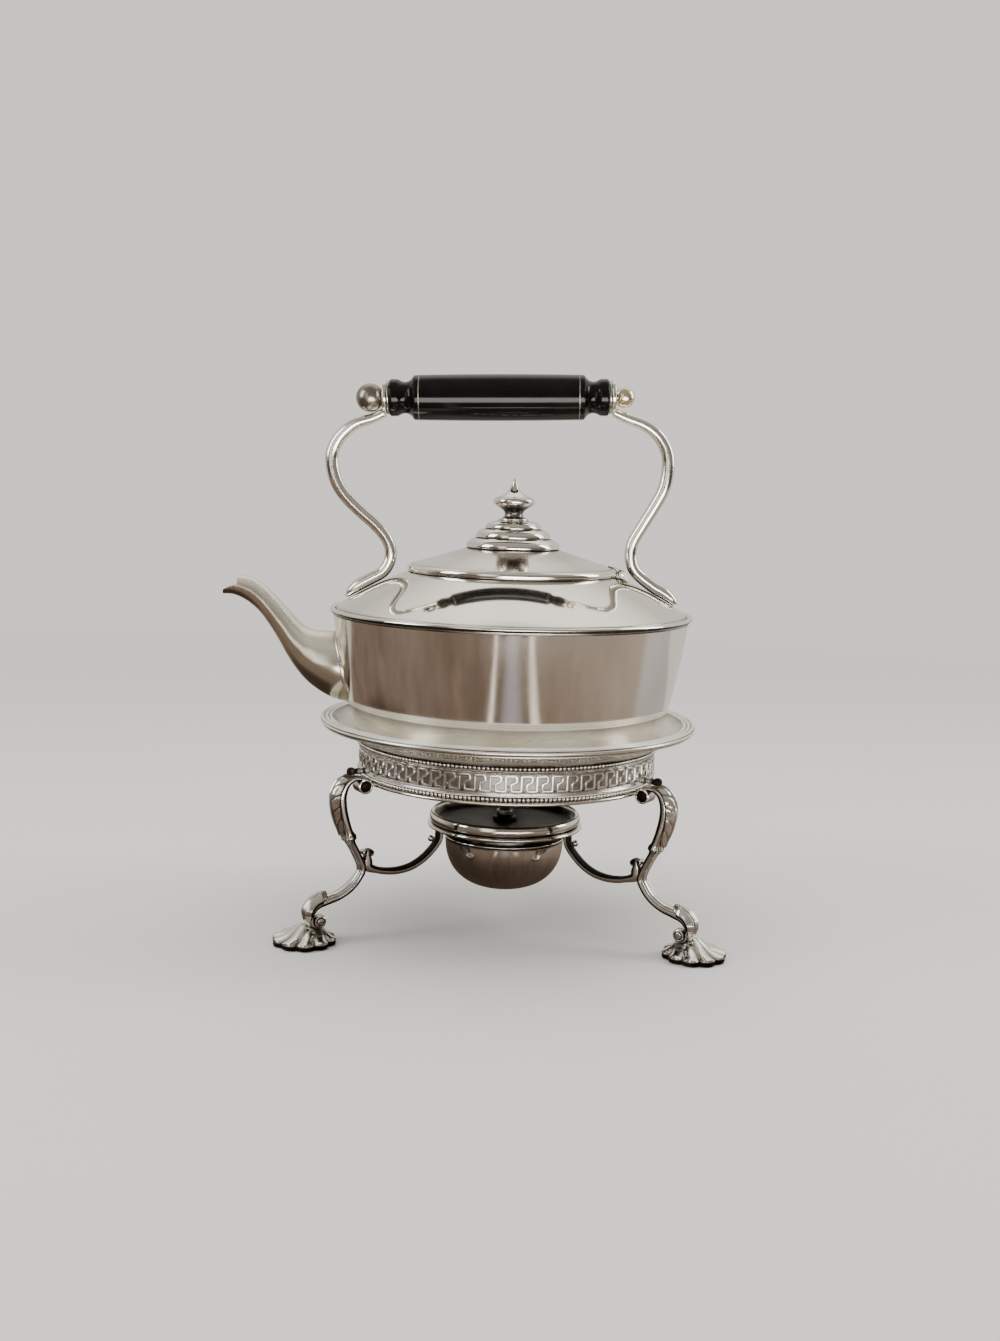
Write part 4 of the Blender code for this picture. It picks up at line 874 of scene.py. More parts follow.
@dataclass
class StandRings:
    """Flange, key band, bead rings, lowest ring and the ring that holds the burner."""

    shop: Workshop
    ledge_height: float = 0.0984
    ledge_inner: float = 0.0690
    ledge_outer: float = 0.0765
    reeds_start: float = 0.0931
    valley: float = 0.1102
    reed_width: float = 0.0022
    reed_height: float = 0.0011
    neck_radius: float = 0.0806
    neck_height: float = 0.0995
    spigot: float = 0.0787
    band_bottom: float = 0.0841
    band_top: float = 0.0969
    band_inner: float = 0.0772
    band_ground: float = 0.0784
    lip_height: float = 0.0014
    band_lip: float = 0.0794
    upper_beads: float = 0.0972
    lower_beads: float = 0.0818
    bead_ring_height: float = 0.0020
    bead_ring_inner: float = 0.0790
    bead_count: int = 224
    bead_radius: float = 0.00098
    key_units: int = 64
    key_low: float = 0.0869
    key_high: float = 0.0943
    key_path: tuple[Point, ...] = (
        (0, 0), (0, 1), (0.66, 1), (0.70, 0.62), (0.34, 0.46), (0.34, 0),
    )
    key_section: tuple[Point, ...] = (
        (-0.5, -0.2), (-0.44, 0.50), (-0.27, 0.88), (0.0, 1.0), (0.27, 0.88), (0.44, 0.50), (0.5, -0.2),
    )
    key_width: float = 0.00150
    key_rise: float = 0.00085
    pip_shares: tuple[Point, ...] = ((0.84, 0.80), (0.17, 0.30), (0.25, 1.17), (0.75, 1.17), (0.60, -0.17))
    base_low: float = 0.0795
    base_high: float = 0.0815
    base_radius: float = 0.0802

    def build(self) -> None:
        """Builds and sets all the rings."""
        upper = self.bead_ring(self.upper_beads, self.neck_radius)
        lower = self.bead_ring(self.lower_beads, self.base_radius)
        self.shop.add_all(
            "stand", self.shop.upright(),
            (self.flange(), "flange_reeded", Look.FLANGE, "stand_flange"),
            (upper, "upper_beads", Look.AGED, "upper_bead_ring"),
            (lower, "lower_beads", Look.AGED, "lower_bead_ring"),
            (self.band() + self.key_ridge() + self.key_pips(), "greek_key_band", Look.AGED, "key_band"),
            (self.base_ring(), "base_ring_turned", Look.PLATE, "base_ring"),
            (self.holder_ring(), "holder_ring_turned", Look.PLATE, "burner_holder_ring"),
        )

    def flange(self) -> Form:
        """Makes the dished flange with three reeds and an undercut rim."""
        outline = rounded([
            (self.ledge_inner, 0.0972, 0.0003, 0),
            (self.ledge_inner, self.ledge_height, 0.0003, 0),
            (self.ledge_outer, self.ledge_height, 0.0002, 0.4),
        ], closed=False)
        dish = smooth([
            (self.ledge_outer, self.ledge_height, 0.5), (0.0785, 0.10006, 0.25),
            (0.08214, 0.1030, 0.05), (0.08712, 0.10619, 0), (self.reeds_start, self.valley, 0.5),
        ], 8)
        outline += dish[1:]
        for reed in range(3):
            middle = self.reeds_start + (reed + 0.5) * self.reed_width
            for share in np.linspace(-1, 1, 13)[1:]:
                rise = math.sqrt(max(0.0, 1 - share * share)) * self.reed_height
                outline.append((middle + share * self.reed_width / 2, self.valley + rise, abs(share) ** 6))
        rim = self.reeds_start + 3 * self.reed_width
        outline += arc((rim - 0.0011, self.valley - 0.0011), (0.0011, 0.0012), 60, -60, 8)[1:]
        outline += [(rim - 0.00135, self.valley - 0.0023, 1.0), (rim - 0.0013, self.valley - 0.00255, 1.0)]
        outline += arc((rim - 0.0017, self.valley - 0.0028), (0.0006, 0.0004), 40, -90, 5, 0.2)
        outline += smooth([
            (rim - 0.0019, 0.1070, 0), (0.0912, 0.10462, 0.0), (0.0862, 0.10236, 0.15),
            (0.0826, 0.10055, 0.55), (self.neck_radius, 0.09975, 0.85),
        ], 8)
        outline += [
            (self.neck_radius, self.neck_height, 0.8), (self.spigot, self.neck_height, 0.8),
            (self.spigot, 0.0972, 0.5),
        ]
        return turned(outline, 240)

    def bead_ring(self, low: float, outer: float) -> Form:
        """Makes a row of beads on a dark backing.

        Args:
            low: Its underside.
            outer: Its outer radius.

        Returns:
            The ring.
        """
        high = low + self.bead_ring_height
        middle = low + self.bead_ring_height / 2
        inner, backing = self.bead_ring_inner, outer - 0.0009
        outline = rounded([
            (inner, low, 0.0002, 0.6), (backing, low, 0.0004, 1.0),
            (backing, high, 0.0004, 1.0), (inner, high, 0.0002, 0.6),
        ])
        centre = outer - self.bead_radius
        angles = np.arange(self.bead_count) * math.tau / self.bead_count
        places = [(centre * math.cos(a), centre * math.sin(a), middle) for a in angles]
        return turned(outline, 200) + beads(places, self.bead_radius)

    def band(self) -> Form:
        """Makes the band's ground between two raised lips."""
        low, high, inner, lip, ground = (
            self.band_bottom, self.band_top, self.band_inner, self.band_lip, self.band_ground,
        )
        return turned(rounded([
            (inner, low, 0.0002, 0.2), (inner, high, 0.0002, 0.2),
            (lip, high, 0.0003, 0.3), (lip, high - 0.0005, 0.0003, 0.1),
            (ground + 0.0003, high - self.lip_height, 0.0003, 0.2), (ground, high - 0.0018, 0.0002, 0.62),
            (ground, low + 0.0018, 0.0002, 0.62), (ground + 0.0003, low + self.lip_height, 0.0003, 0.2),
            (lip, low + 0.0005, 0.0003, 0.1), (lip, low, 0.0003, 0.3),
        ]), 240)

    def key_ridge(self) -> Form:
        """Makes the one closed ridge that draws the Greek key round the band."""
        unit = math.tau * self.band_ground / self.key_units
        height = self.key_high - self.key_low
        lap = np.array((unit * self.key_units, 0))
        corners = np.array([
            ((index + u) * unit, self.key_low + v * height)
            for index in range(-1, self.key_units + 1)
            for u, v in self.key_path
        ])
        bends = []
        for before, corner, after in zip(corners, corners[1:], corners[2:]):
            entry = corner + (before - corner) * min(0.45, 0.0008 / np.linalg.norm(before - corner))
            leave = corner + (after - corner) * min(0.45, 0.0008 / np.linalg.norm(after - corner))
            bends += [
                (1 - t) ** 2 * entry + 2 * t * (1 - t) * corner + t * t * leave
                for t in (0, 0.33, 0.67, 1)
            ]
        turns = len(self.key_path)
        flat = np.array(bends[4 * (turns - 1):4 * (turns - 1 + turns * self.key_units)])
        before = np.vstack((flat[-1] - lap, flat[:-1]))
        after = np.vstack((flat[1:], flat[0] + lap))
        way_in = (flat - before) / np.linalg.norm(flat - before, axis=1, keepdims=True)
        way_out = (after - flat) / np.linalg.norm(after - flat, axis=1, keepdims=True)
        normal_in = np.column_stack((-way_in[:, 1], way_in[:, 0]))
        normal_out = np.column_stack((-way_out[:, 1], way_out[:, 0]))
        mitre = normal_in + normal_out
        mitre /= np.maximum(np.sum(mitre * normal_in, axis=1, keepdims=True), 0.35)
        rows = np.empty((len(flat), len(self.key_section), 3))
        depth = np.empty(rows.shape[:2])
        for column, (side, rise) in enumerate(self.key_section):
            spot = flat + mitre * side * self.key_width
            radius = self.band_ground + rise * self.key_rise
            angle = spot[:, 0] / self.band_ground
            rows[:, column] = np.column_stack((radius * np.cos(angle), radius * np.sin(angle), spot[:, 1]))
            depth[:, column] = 0.75 * (1.0 - max(rise, 0.0))
        return skinned(rows, depth, ring=True)

    def key_pips(self) -> Form:
        """Makes the small pips between the turns of the key, and under each turn a dark dot that stands for a
        hole, its darkness painted shade.
        """
        unit = math.tau / self.key_units
        height = self.key_high - self.key_low

        def spot(turn: float, rise: float, up: float) -> Point:
            """Gives a place on the band."""
            radius = self.band_ground + rise
            return (radius * math.cos(turn * unit), radius * math.sin(turn * unit), self.key_low + up)

        pips = [
            spot(index + u, 0.00015, v * height)
            for index in range(self.key_units)
            for u, v in self.pip_shares
        ]
        # Painted shade: a fully darkened dot under each turn stands for a hole.
        hole_shade_dots = [spot(index + 0.16, 0.0002, -0.0003) for index in range(self.key_units)]
        return beads(pips, 0.00048, 8, 0.1) + beads(hole_shade_dots, 0.00045, 8, 1.0)

    def base_ring(self) -> Form:
        """Makes the stand's lowest ring with a fine line over its bulge."""
        low, high = self.base_low, self.base_high
        bulge = arc((self.base_radius - 0.001, (low + high) / 2), (0.001, 0.0009), 80, -80, 10)
        inner, shelf = self.band_inner, self.base_radius - 0.0012
        outline = [(inner, low, 0.2), (inner, high, 0.2), (shelf, high, 1.0), *bulge, (shelf, low, 0.8)]
        return turned(outline, 200)

    def holder_ring(self) -> Form:
        """Makes the ring that holds the burner."""
        return turned(rounded([
            (0.0365, 0.0516, 0.0003, 0.1), (0.0365, 0.0538, 0.0003, 0.1), (0.0412, 0.0538, 0.0007, 0.0),
            (0.0418, 0.0527, 0.0008, 0.0), (0.0412, 0.0516, 0.0007, 0.1),
        ]), 140)


@dataclass
class Legs:
    """Three scroll legs with their leaves, spurs, struts and shell feet."""

    shop: Workshop
    scroll_centre: Point = (0.0845, 0.0800)
    volute_centre: Point = (0.0836, 0.0796)
    volute_radii: Point = (0.0037, 0.0012)
    circle: float = 0.1145
    knee_inset: float = 0.0073
    knee_height: float = 0.0112
    thickness: float = 0.0048
    width: float = 0.0090
    scroll_strap: float = 0.0022
    upper_shares: tuple[Point, ...] = (
        (0.161, 1.046, 0.66, 1.00), (0.300, 1.015, 1.00, 1.00), (0.375, 0.950, 1.20, 1.02),
        (0.375, 0.872, 1.25, 1.04), (0.325, 0.786, 1.22, 1.04), (0.245, 0.699, 1.18, 1.00),
        (0.212, 0.662, 1.60, 1.14), (0.185, 0.632, 0.98, 0.90), (0.080, 0.557, 0.90, 0.80),
    )
    stem: Point = (0.0836, 0.455, 0.0042, 0.78)
    lower_shares: tuple[Point, ...] = (
        (0.045, 0.390, 0.88, 0.80), (0.190, 0.332, 0.88, 0.88), (0.390, 0.288, 0.88, 0.92),
        (0.590, 0.267, 0.96, 0.96), (0.790, 0.243, 0.98, 0.94), (0.893, 0.196, 0.80, 0.86),
    )
    leaf_shell: float = 0.0022
    leaf_gap: float = 0.0003
    upper_leaf_shares: tuple[Point, ...] = (
        (0.45, 0.70), (0.60, 0.90), (0.85, 1.06), (1.00, 1.14), (1.08, 1.18), (1.08, 1.16),
        (1.00, 1.12), (0.94, 1.06), (0.86, 0.98), (0.74, 0.86), (0.52, 0.62),
    )
    knee_leaf_shares: tuple[Point, ...] = (
        (1.00, 0.66), (1.55, 0.98), (1.40, 1.08), (1.36, 1.10), (1.30, 1.08), (1.10, 1.00), (0.60, 0.72),
    )
    upper_leaf_skip: int = 2
    knee_leaf_skip: int = 28
    strut_shares: tuple[Point, ...] = (
        (0.115, -0.140), (0.270, -0.230), (0.430, -0.240), (0.600, -0.150),
        (0.760, 0.075), (0.895, 0.390), (0.985, 0.710),
    )
    strut_width: float = 0.0054
    strut_end: Point = (0.03915, 0.0513)
    strut_knob: Point = (0.0440, 0.0, 0.0482)
    spur_place: Point = (0.0803, 0.0872)
    spur_outline: tuple[Point, ...] = (
        (0.0, 0.0, 0.6), (0.0016, 0.0001, 0.6), (0.0018, 0.0016, 0.3), (0.0014, 0.0032, 0.8),
        (0.0015, 0.0050, 0.3), (0.0017, 0.0066, 0.6), (0.0014, 0.0076, 1.0), (0.0019, 0.0084, 0.9),
        (0.0023, 0.0098, 0.8), (0.0020, 0.0112, 0.9), (0.0011, 0.0120, 0.9), (0.0, 0.0122, 0.9),
    )
    foot_radius: float = 0.0164
    foot_flutes: int = 10
    foot_rim: tuple[Point, ...] = (
        (0.55, 0.0), (0.93, 0.0), (0.985, 0.0003), (1.0, 0.0010), (1.0, 0.0022), (0.997, 0.0029),
    )
    foot_hump: tuple[Point, ...] = (
        (0.985, 0.30, 0.0), (0.94, 0.62, 0.02), (0.86, 0.95, 0.08), (0.76, 1.45, 0.18), (0.66, 1.95, 0.30),
        (0.54, 2.60, 0.45), (0.42, 3.05, 0.60), (0.30, 3.40, 0.78), (0.16, 3.50, 1.0),
    )

    def build(self) -> None:
        """Builds one leg with its parts and sets it at the three places."""
        upper, middle, lower = self.leg_stations(8)
        coarse = self.leg_stations(2)[1]
        parts = {
            "leg": (swept(upper + middle + lower, self.leg_section) + self.eyes(), "scroll_leg"),
            "upper_leaf": (self.upper_leaf(coarse), "veined_leaf"),
            "knee_leaf": (self.knee_leaf(coarse), "knee_sleeve"),
            "spur": (self.spur(), "turned_spur"),
            "strut": (self.strut(), "curled_strut"),
            "foot": (self.foot(), "shell_foot"),
        }
        for side in LEG_ANGLES:
            place = self.shop.leg(side)
            for node, (form, name) in parts.items():
                self.shop.add(form.moved(place), f"{name}_{side}", "stand", Look.AGED, f"{node}_{side}")

    @property
    def knee(self) -> Point:
        """Centre of the lower scroll."""
        return (self.circle - self.knee_inset, self.knee_height)

    def station(self, out: float, up: float, thick: float, wide: float) -> Point:
        """Gives a station of a leg by its shares of the way out and up and of the strap's size."""
        start, height = self.scroll_centre
        out_place = start + out * (self.circle - start)
        return (out_place, up * height, thick * self.thickness, wide * self.width)

    @staticmethod
    def spiral(
        centre: Point, radii: Point, angles: tuple[float, float], thickness: float, width: float
    ) -> list[Point]:
        """Winds a strap about a centre.

        Args:
            centre: Its centre.
            radii: Radius at its start and end.
            angles: Angle at its start and end, in degrees.
            thickness: The strap's thickness.
            width: The strap's width.

        Returns:
            Stations along it.
        """
        stations = []
        for share in np.linspace(0, 1, 41):
            angle = math.radians(angles[0] + (angles[1] - angles[0]) * share)
            radius = radii[0] + (radii[1] - radii[0]) * share
            x, z = centre[0] + radius * math.cos(angle), centre[1] + radius * math.sin(angle)
            stations.append((x, z, thickness, width))
        return stations

    def leg_stations(self, steps: int) -> tuple[list[Point], list[Point], list[Point]]:
        """Gives the stations of a leg.

        Args:
            steps: Steps between two knots of the part between the scrolls.

        Returns:
            Stations of the upper scroll, of the part between, and of the lower scroll.
        """
        strap = self.scroll_strap
        upper = self.spiral(self.volute_centre, self.volute_radii, (90, 450), strap, 0.84 * self.width)
        lower = self.spiral(self.knee, (0.0039, 0.0016), (0, -360), strap, 0.80 * self.width)
        upper.reverse()
        x, up, thickness, wide = self.stem
        knots = [self.station(*shares) for shares in self.upper_shares]
        knots.append((x, up * self.scroll_centre[1], thickness, wide * self.width))
        knots += [self.station(*shares) for shares in self.lower_shares]
        return upper[:-1], smooth([upper[-1], *knots, lower[0]], steps), lower[1:]

    def leg_section(self, place: float) -> list[Point]:
        """Gives the section of a leg, a soft strap with a groove along each edge of both faces and painted
        shade on its under face.

        Args:
            place: Where on the way from one scroll to the other, from 0 to 1.

        Returns:
            (side, rise, recess) points.
        """
        points = []
        for step in range(56):
            side, rise = squarish(math.tau * step / 56, 0.62)
            groove = hollow_near(abs(side), 0.27, 0.075) * min(1.0, abs(rise) * 3)
            seam = 0.7 * hollow_near(rise, 0.30, 0.08) * step_between(0.36, 0.46, abs(side))
            # Painted shade: the strap's under face is darkened.
            under = 0.95 * step_between(-0.04, 0.14, -rise)
            crown = 1 - 0.12 * (side / 0.5) ** 2
            depth = min(1.0, 0.75 * groove + seam + under)
            points.append((side * (1 - 0.14 * seam), rise * crown * (1 - 0.30 * groove), depth))
        return points

    def eyes(self) -> Form:
        """Makes the round bosses at the hearts of both scrolls."""
        forms = []
        for (x, z), radius, half, heart in (
            (self.volute_centre, 0.0039, 0.0043, 1.0), (self.knee, 0.0030, 0.0042, 0.0),
        ):
            side = rounded([
                (0, half + 0.0007, 0, heart), (0.52 * radius, half + 0.0005, 0.0006, heart),
                (0.60 * radius, half - 0.0002, 0.0001, 1.0), (0.72 * radius, half - 0.0001, 0.0001, 1.0),
                (0.80 * radius, half + 0.0003, 0.0002, 0.0), (radius, half - 0.0001, 0.0003, 0.2),
            ], closed=False)
            turn = Matrix.Translation((x, 0, z)) @ Matrix.Rotation(math.pi / 2, 4, "X")
            forms.append(turned(side + mirrored(side), 32).moved(turn))
        return forms[0] + forms[1]

    def leaf_path(
        self, coarse: list[Point], skip: int, shares: Sequence[Point], lift: float = 0.0
    ) -> list[Point]:
        """Gives the stations of a leaf laid over a leg.

        Args:
            coarse: The leg's stations between its scrolls.
            skip: Stations of the leg before the leaf.
            shares: Thickness and width shares of the leaf.
            lift: How far its tip stands off.

        Returns:
            Stations of the leaf.
        """
        path = []
        for index, (thick, wide) in enumerate(shares, skip):
            x, z, leg_thickness, _ = coarse[index]
            before, after = coarse[index - 1], coarse[min(index + 1, len(coarse) - 1)]
            along = Vector((after[0] - before[0], after[1] - before[1])).normalized()
            thickness = thick * self.leaf_shell
            out = leg_thickness / 2 + self.leaf_gap + thickness / 2
            if index == skip + len(shares) - 1:
                out += lift
            path.append((x - along.y * out, z + along.x * out, thickness, wide * self.width))
        return smooth(path, 8)

    @staticmethod
    def shell_section(crown: Callable[[float], tuple[float, float]], wide: float) -> list[Point]:
        """Gives the section of a curved shell, with painted shade on its under face.

        Args:
            crown: Gives the upper face's relief and recess at a place from -1 to 1 across.
            wide: Share of the full width.

        Returns:
            (side, rise, recess) points.
        """
        over, under = [], []
        for across in np.linspace(-1, 1, 33):
            relief, depth = crown(float(across))
            over.append((0.5 * across * wide, 0.5 - 1.42 * abs(across) ** 2.4 + relief, depth))
            # Painted shade: the shell's under face, which lies against the leg, is darkened fully.
            under.append((0.5 * across * wide, -0.48 - 0.72 * across ** 2, 1.0))
        return over + under[::-1]

    def upper_leaf(self, coarse: list[Point]) -> Form:
        """Makes the veined leaf over a leg's outer curve."""
        path = self.leaf_path(coarse, self.upper_leaf_skip, self.upper_leaf_shares, 0.0005)

        def section(place: float) -> list[Point]:
            """Gives the section at a place along the leaf."""
            lobe = abs(math.sin(math.pi * 5.5 * place))
            wide = 0.95 + 0.09 * lobe

            def crown(across: float) -> tuple[float, float]:
                """Gives the rib, the veins and their grooves."""
                side = abs(across)
                rib = hollow_near(side, 0, 0.10)
                groove = hollow_near(side, 0.20, 0.07)
                vein = abs(math.sin(math.pi * (5.5 * place + 0.9 * side)))
                cut = (1 - vein) ** 3 * step_between(0.2, 0.45, side)
                depth = min(1.0, 0.85 * groove + 0.9 * cut + 0.5 * step_between(0.92, 1.0, side))
                return 0.16 * rib - 0.20 * groove - 0.24 * cut, depth

            return self.shell_section(crown, wide)

        return swept(path, section)

    def knee_leaf(self, coarse: list[Point]) -> Form:
        """Makes the sleeve over the knee, with a raised border round a darker panel."""
        path = self.leaf_path(coarse, self.knee_leaf_skip, self.knee_leaf_shares)

        def section(place: float) -> list[Point]:
            """Gives the section at a place along the sleeve."""
            def crown(across: float) -> tuple[float, float]:
                """Gives the border and the sunken panel."""
                side = abs(across)
                inside = (1 - step_between(0.42, 0.58, side)) * step_between(0.10, 0.24, place)
                inside = inside * (1 - step_between(0.80, 0.92, place))
                ribs = abs(math.sin(math.pi * 2.5 * side))
                depth = 0.45 * inside * (1 - 0.5 * ribs) + step_between(0.94, 1.0, side)
                return -0.26 * inside + 0.10 * inside * ribs, max(depth, 1 - step_between(0.0, 0.05, place))

            return self.shell_section(crown, 1.0)

        return swept(path, section)

    def spur(self) -> Form:
        """Makes the turned stub with its dark round knob that stands out of the band over a leg."""
        x, z = self.spur_place
        turn = Matrix.Translation((x, 0, z)) @ Matrix.Rotation(math.pi / 2, 4, "Y")
        outline = [(max(r, 0.0), h, d) for r, h, d in smooth(self.spur_outline, 4)]
        return turned(outline, 24).moved(turn)

    def strut(self) -> Form:
        """Makes a strut from its curl at the leg, down and in to the burner's ring."""
        x, z = self.stem[0] - 0.0015 - GAP - 0.0018, self.stem[1] * self.scroll_centre[1]
        width = self.strut_width
        run, rise = self.strut_end[0] - x, self.strut_end[1] - z
        curl = self.spiral((x - 0.0008, z + 0.0072), (0.0019, 0.0006), (20, 290), 0.0018, width)
        curl.reverse()
        partner = self.spiral((x + 0.0024, z + 0.0078), (0.0013, 0.0005), (180, -90), 0.0014, 0.0050)
        partner.insert(0, (x + 0.0013, z + 0.0040, 0.0020, 0.0050))
        sweep = [(x + 0.0004, z + 0.0036, 0.0052, width), (x, z, 0.0052, width)]
        sweep += [(x + along * run, z + up * rise, 0.0038, width) for along, up in self.strut_shares]
        sweep.append((*self.strut_end, 0.0038, width))

        def section(place: float) -> list[Point]:
            """Gives a rounded strap with a groove along its upper face, a darker stretch past the curl, and
            painted shade on its underside.
            """
            points = []
            for step in range(28):
                side, high = squarish(math.tau * step / 28, 0.7)
                groove = hollow_near(abs(side), 0.24, 0.08) * step_between(0.1, 0.2, place)
                dark = 0.9 * (1 - step_between(0.30, 0.42, place)) * step_between(0.10, 0.2, place)
                # Painted shade: the strap's underside is darkened.
                dark = max(dark, 0.95 * step_between(0.02, 0.18, -high), 0.65 * groove)
                points.append((side, high * (1 - 0.22 * groove), dark))
            return points

        strap = swept(curl[:-1] + smooth([curl[-1], *sweep], 7), section)
        return strap + swept(partner, section) + beads([self.strut_knob], 0.0018, 16, 0.1)

    def foot(self) -> Form:
        """Makes the scallop-shell foot with rounded flutes and dark grooves between them, and painted shade
        on its side and round the leg's root.
        """
        count = self.foot_flutes * 20
        angles = np.arange(count) * math.tau / count
        lobe = np.abs(np.cos(self.foot_flutes * angles / 2))
        valley = (1 - lobe) ** 4
        rows, depths = [], []
        for share, height in self.foot_rim:
            reach = self.foot_radius * share + 0.0018 * (lobe - 1)
            z = np.full(count, height)
            rows.append(np.column_stack((reach * np.cos(angles), reach * np.sin(angles), z)))
            # Painted shade: the low rim rows, which make the foot's side, are darkened.
            depths.append(np.full(count, 0.92) if height < 0.0025 else 0.9 * valley)
        for share, rise, slide in self.foot_hump:
            reach = self.foot_radius * share + 0.0018 * (lobe - 1) * share ** 2
            x = reach * np.cos(angles) - slide * self.knee_inset
            y = reach * np.sin(angles)
            flute = 0.0010 * (lobe - 0.75) * step_between(0.30, 0.95, share)
            front = 0.0046 * np.exp(-(((x - 0.0016) / 0.0052) ** 2) - (y / 0.0066) ** 2)
            z = 0.0031 + 0.001 * rise + flute * 1.3 + front * (share < 0.9) * min(1.0, (0.9 - share) * 4)
            z = np.where(x < -0.0042, np.minimum(z, 0.0070), z)
            rows.append(np.column_stack((x, y, z)))
            # Painted shade: the foot is darkened round the root where the leg meets it.
            leg_root_shade = 0.8 * (1 - step_between(-0.0042, -0.0022, x)) * step_between(-0.0120, -0.0090, x)
            dark = np.maximum(valley * step_between(0.55, 0.95, share), leg_root_shade * (share < 0.6))
            depths.append(np.clip(dark, 0, 1))
        form = skinned(np.array(rows), np.array(depths))
        return form.moved(Matrix.Translation((self.circle, 0, 0)))


# Kettle

@dataclass
class KettleBody:
    """Wall, base, shoulder, bead, mouth collar, spout and hinge."""

    shop: Workshop
    base_radius: float = 0.0794
    base_round: Point = (0.0054, 0.0039)
    top_radius: float = 0.0940
    top_height: float = 0.0673
    sheet: float = 0.0012
    wall_shares: tuple[Point, ...] = ((0.137, 0.070), (0.356, 0.228), (0.562, 0.422), (0.801, 0.701))
    bead_height: float = 0.0688
    bead_radius: float = 0.0012
    mouth_radius: float = 0.0526
    spout_root: Point = (-0.0894, 0.0188)
    spout_reach: float = 0.0645
    spout_rise: float = 0.0650
    spout_half_width: float = 0.0155
    spout_wall: float = 0.0011
    spout_sides: int = 72
    spout_shares: tuple[Point, ...] = (
        (0.000, 0.000, 0.087, 0.567, 1.00), (0.141, 0.052, 0.210, 0.571, 0.94),
        (0.273, 0.141, 0.297, 0.595, 0.83), (0.374, 0.247, 0.363, 0.650, 0.72),
        (0.457, 0.366, 0.429, 0.720, 0.63), (0.531, 0.495, 0.497, 0.792, 0.55),
        (0.602, 0.603, 0.576, 0.870, 0.50), (0.686, 0.711, 0.655, 0.938, 0.45),
        (0.786, 0.795, 0.739, 0.986, 0.42), (0.894, 0.844, 0.840, 1.004, 0.40),
        (0.988, 0.850, 0.950, 1.000, 0.37),
    )

    def build(self) -> None:
        """Builds and sets the kettle's body."""
        surface, fillet = self.spout()
        self.shop.add_all(
            "kettle", self.shop.upright(KETTLE_SEAT),
            (self.wall(), "wall_raised", Look.WALL, "kettle_wall"),
            (self.base(), "base_disc", Look.WALL, "kettle_base"),
            (self.shoulder(), "shoulder_spun", Look.PLATE, "kettle_shoulder"),
            (self.bead(), "shoulder_bead_turned", Look.PLATE, "shoulder_bead"),
            (self.collar(), "mouth_collar_turned", Look.PLATE, "mouth_collar"),
            (surface, "spout_raised", Look.SPOUT, "spout"),
            (fillet, "spout_solder_line", Look.SPOUT),
        )
        Hinge(self.shop).build_on_kettle()

    def wall_line(self, grow: float = 0.0) -> list[Point]:
        """Gives the outer line of the wall, grown outwards.

        Args:
            grow: How far it is grown.

        Returns:
            (radius, height, recess) points from the base up.
        """
        width, height = self.base_round
        line = arc((self.base_radius - width, height), (width + grow, height + grow), -90, -6, 12)
        widening, rise = self.top_radius - self.base_radius, self.top_height - height
        top, end = self.top_radius + grow, self.top_height
        knots = [
            (self.base_radius + grow + wide * widening, height + up * rise, 0.0)
            for wide, up in self.wall_shares
        ]
        # Painted shade: the wall's top millimetre under the bead is darkened fully, for the shadow and dark
        # reflection under the rim.
        knots += [(top - 0.0001, end - 0.0014, 0.0), (top, end - 0.0010, 1.0), (top, end, 1.0)]
        return line[:-1] + smooth([line[-1], *knots], 12)

    def wall(self) -> Form:
        """Makes the raised wall, open at its base and top."""
        return turned(self.wall_line() + self.wall_line(-self.sheet)[::-1], 256)

    def wall_radius(self, height: np.ndarray | float) -> np.ndarray | float:
        """Gives the wall's radius at a height over the base."""
        line = np.array(self.wall_line())
        return np.interp(height, line[:, 1], line[:, 0])

    def base(self) -> Form:
        """Makes the base disc, a little domed upwards inside its edge."""
        edge = self.base_radius - self.base_round[0] - GAP
        return turned(rounded([
            (0, 0.0002, 0, 0), (0.62 * edge, 0.0002, 0.004, 0), (0.66 * edge, 0, 0.002, 0.2),
            (edge, 0, 0.0004, 0.5), (edge, self.sheet, 0.0003, 0.2), (0, self.sheet, 0, 0),
        ], closed=False))

    def shoulder(self) -> Form:
        """Makes the conical shoulder with a turned-down lip at the mouth."""
        drop = self.sheet * math.sqrt(1 + math.tan(SHOULDER_SLOPE) ** 2)
        radii = [(self.mouth_radius, 0.3), (0.0534, 0.1), *((r, 0) for r in np.linspace(0.0555, 0.0912, 14))]
        top = [(radius, shoulder_rise(radius), depth) for radius, depth in radii]
        under = [(radius, height - drop, depth) for radius, height, depth in reversed(top)]
        radius, height = SHOULDER_EDGE
        edge = [(radius - 0.0002, height + 0.0001, 0.4), (radius, height - drop, 0.4)]
        return turned(top + edge + under, 240)

    def bead(self) -> Form:
        """Makes the half-round bead between the wall and the shoulder, with painted shade on its underside.
        """
        centre = (self.top_radius + 0.0004, self.bead_height)
        # Painted shade: the points under the bead's middle are darkened fully.
        outline = [
            (radius, height, float(height < self.bead_height - 0.0003))
            for radius, height, _ in arc(centre, (self.bead_radius + 0.0003, self.bead_radius), 0, 345, 23)
        ]
        return turned(outline, 240)

    def collar(self) -> Form:
        """Makes the collar inside the mouth."""
        low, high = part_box("mouth_collar")
        bottom, top = low.z - KETTLE_SEAT, high.z - KETTLE_SEAT
        inner, outer = self.mouth_radius, self.mouth_radius + 0.001
        return turned(rounded([
            (inner, bottom, 0.0003, 0.2), (outer, bottom, 0.0003, 0.2),
            (outer, top - 0.0005, 0.0002, 0.2), (inner, top, 0.0002, 0.2),
        ]))

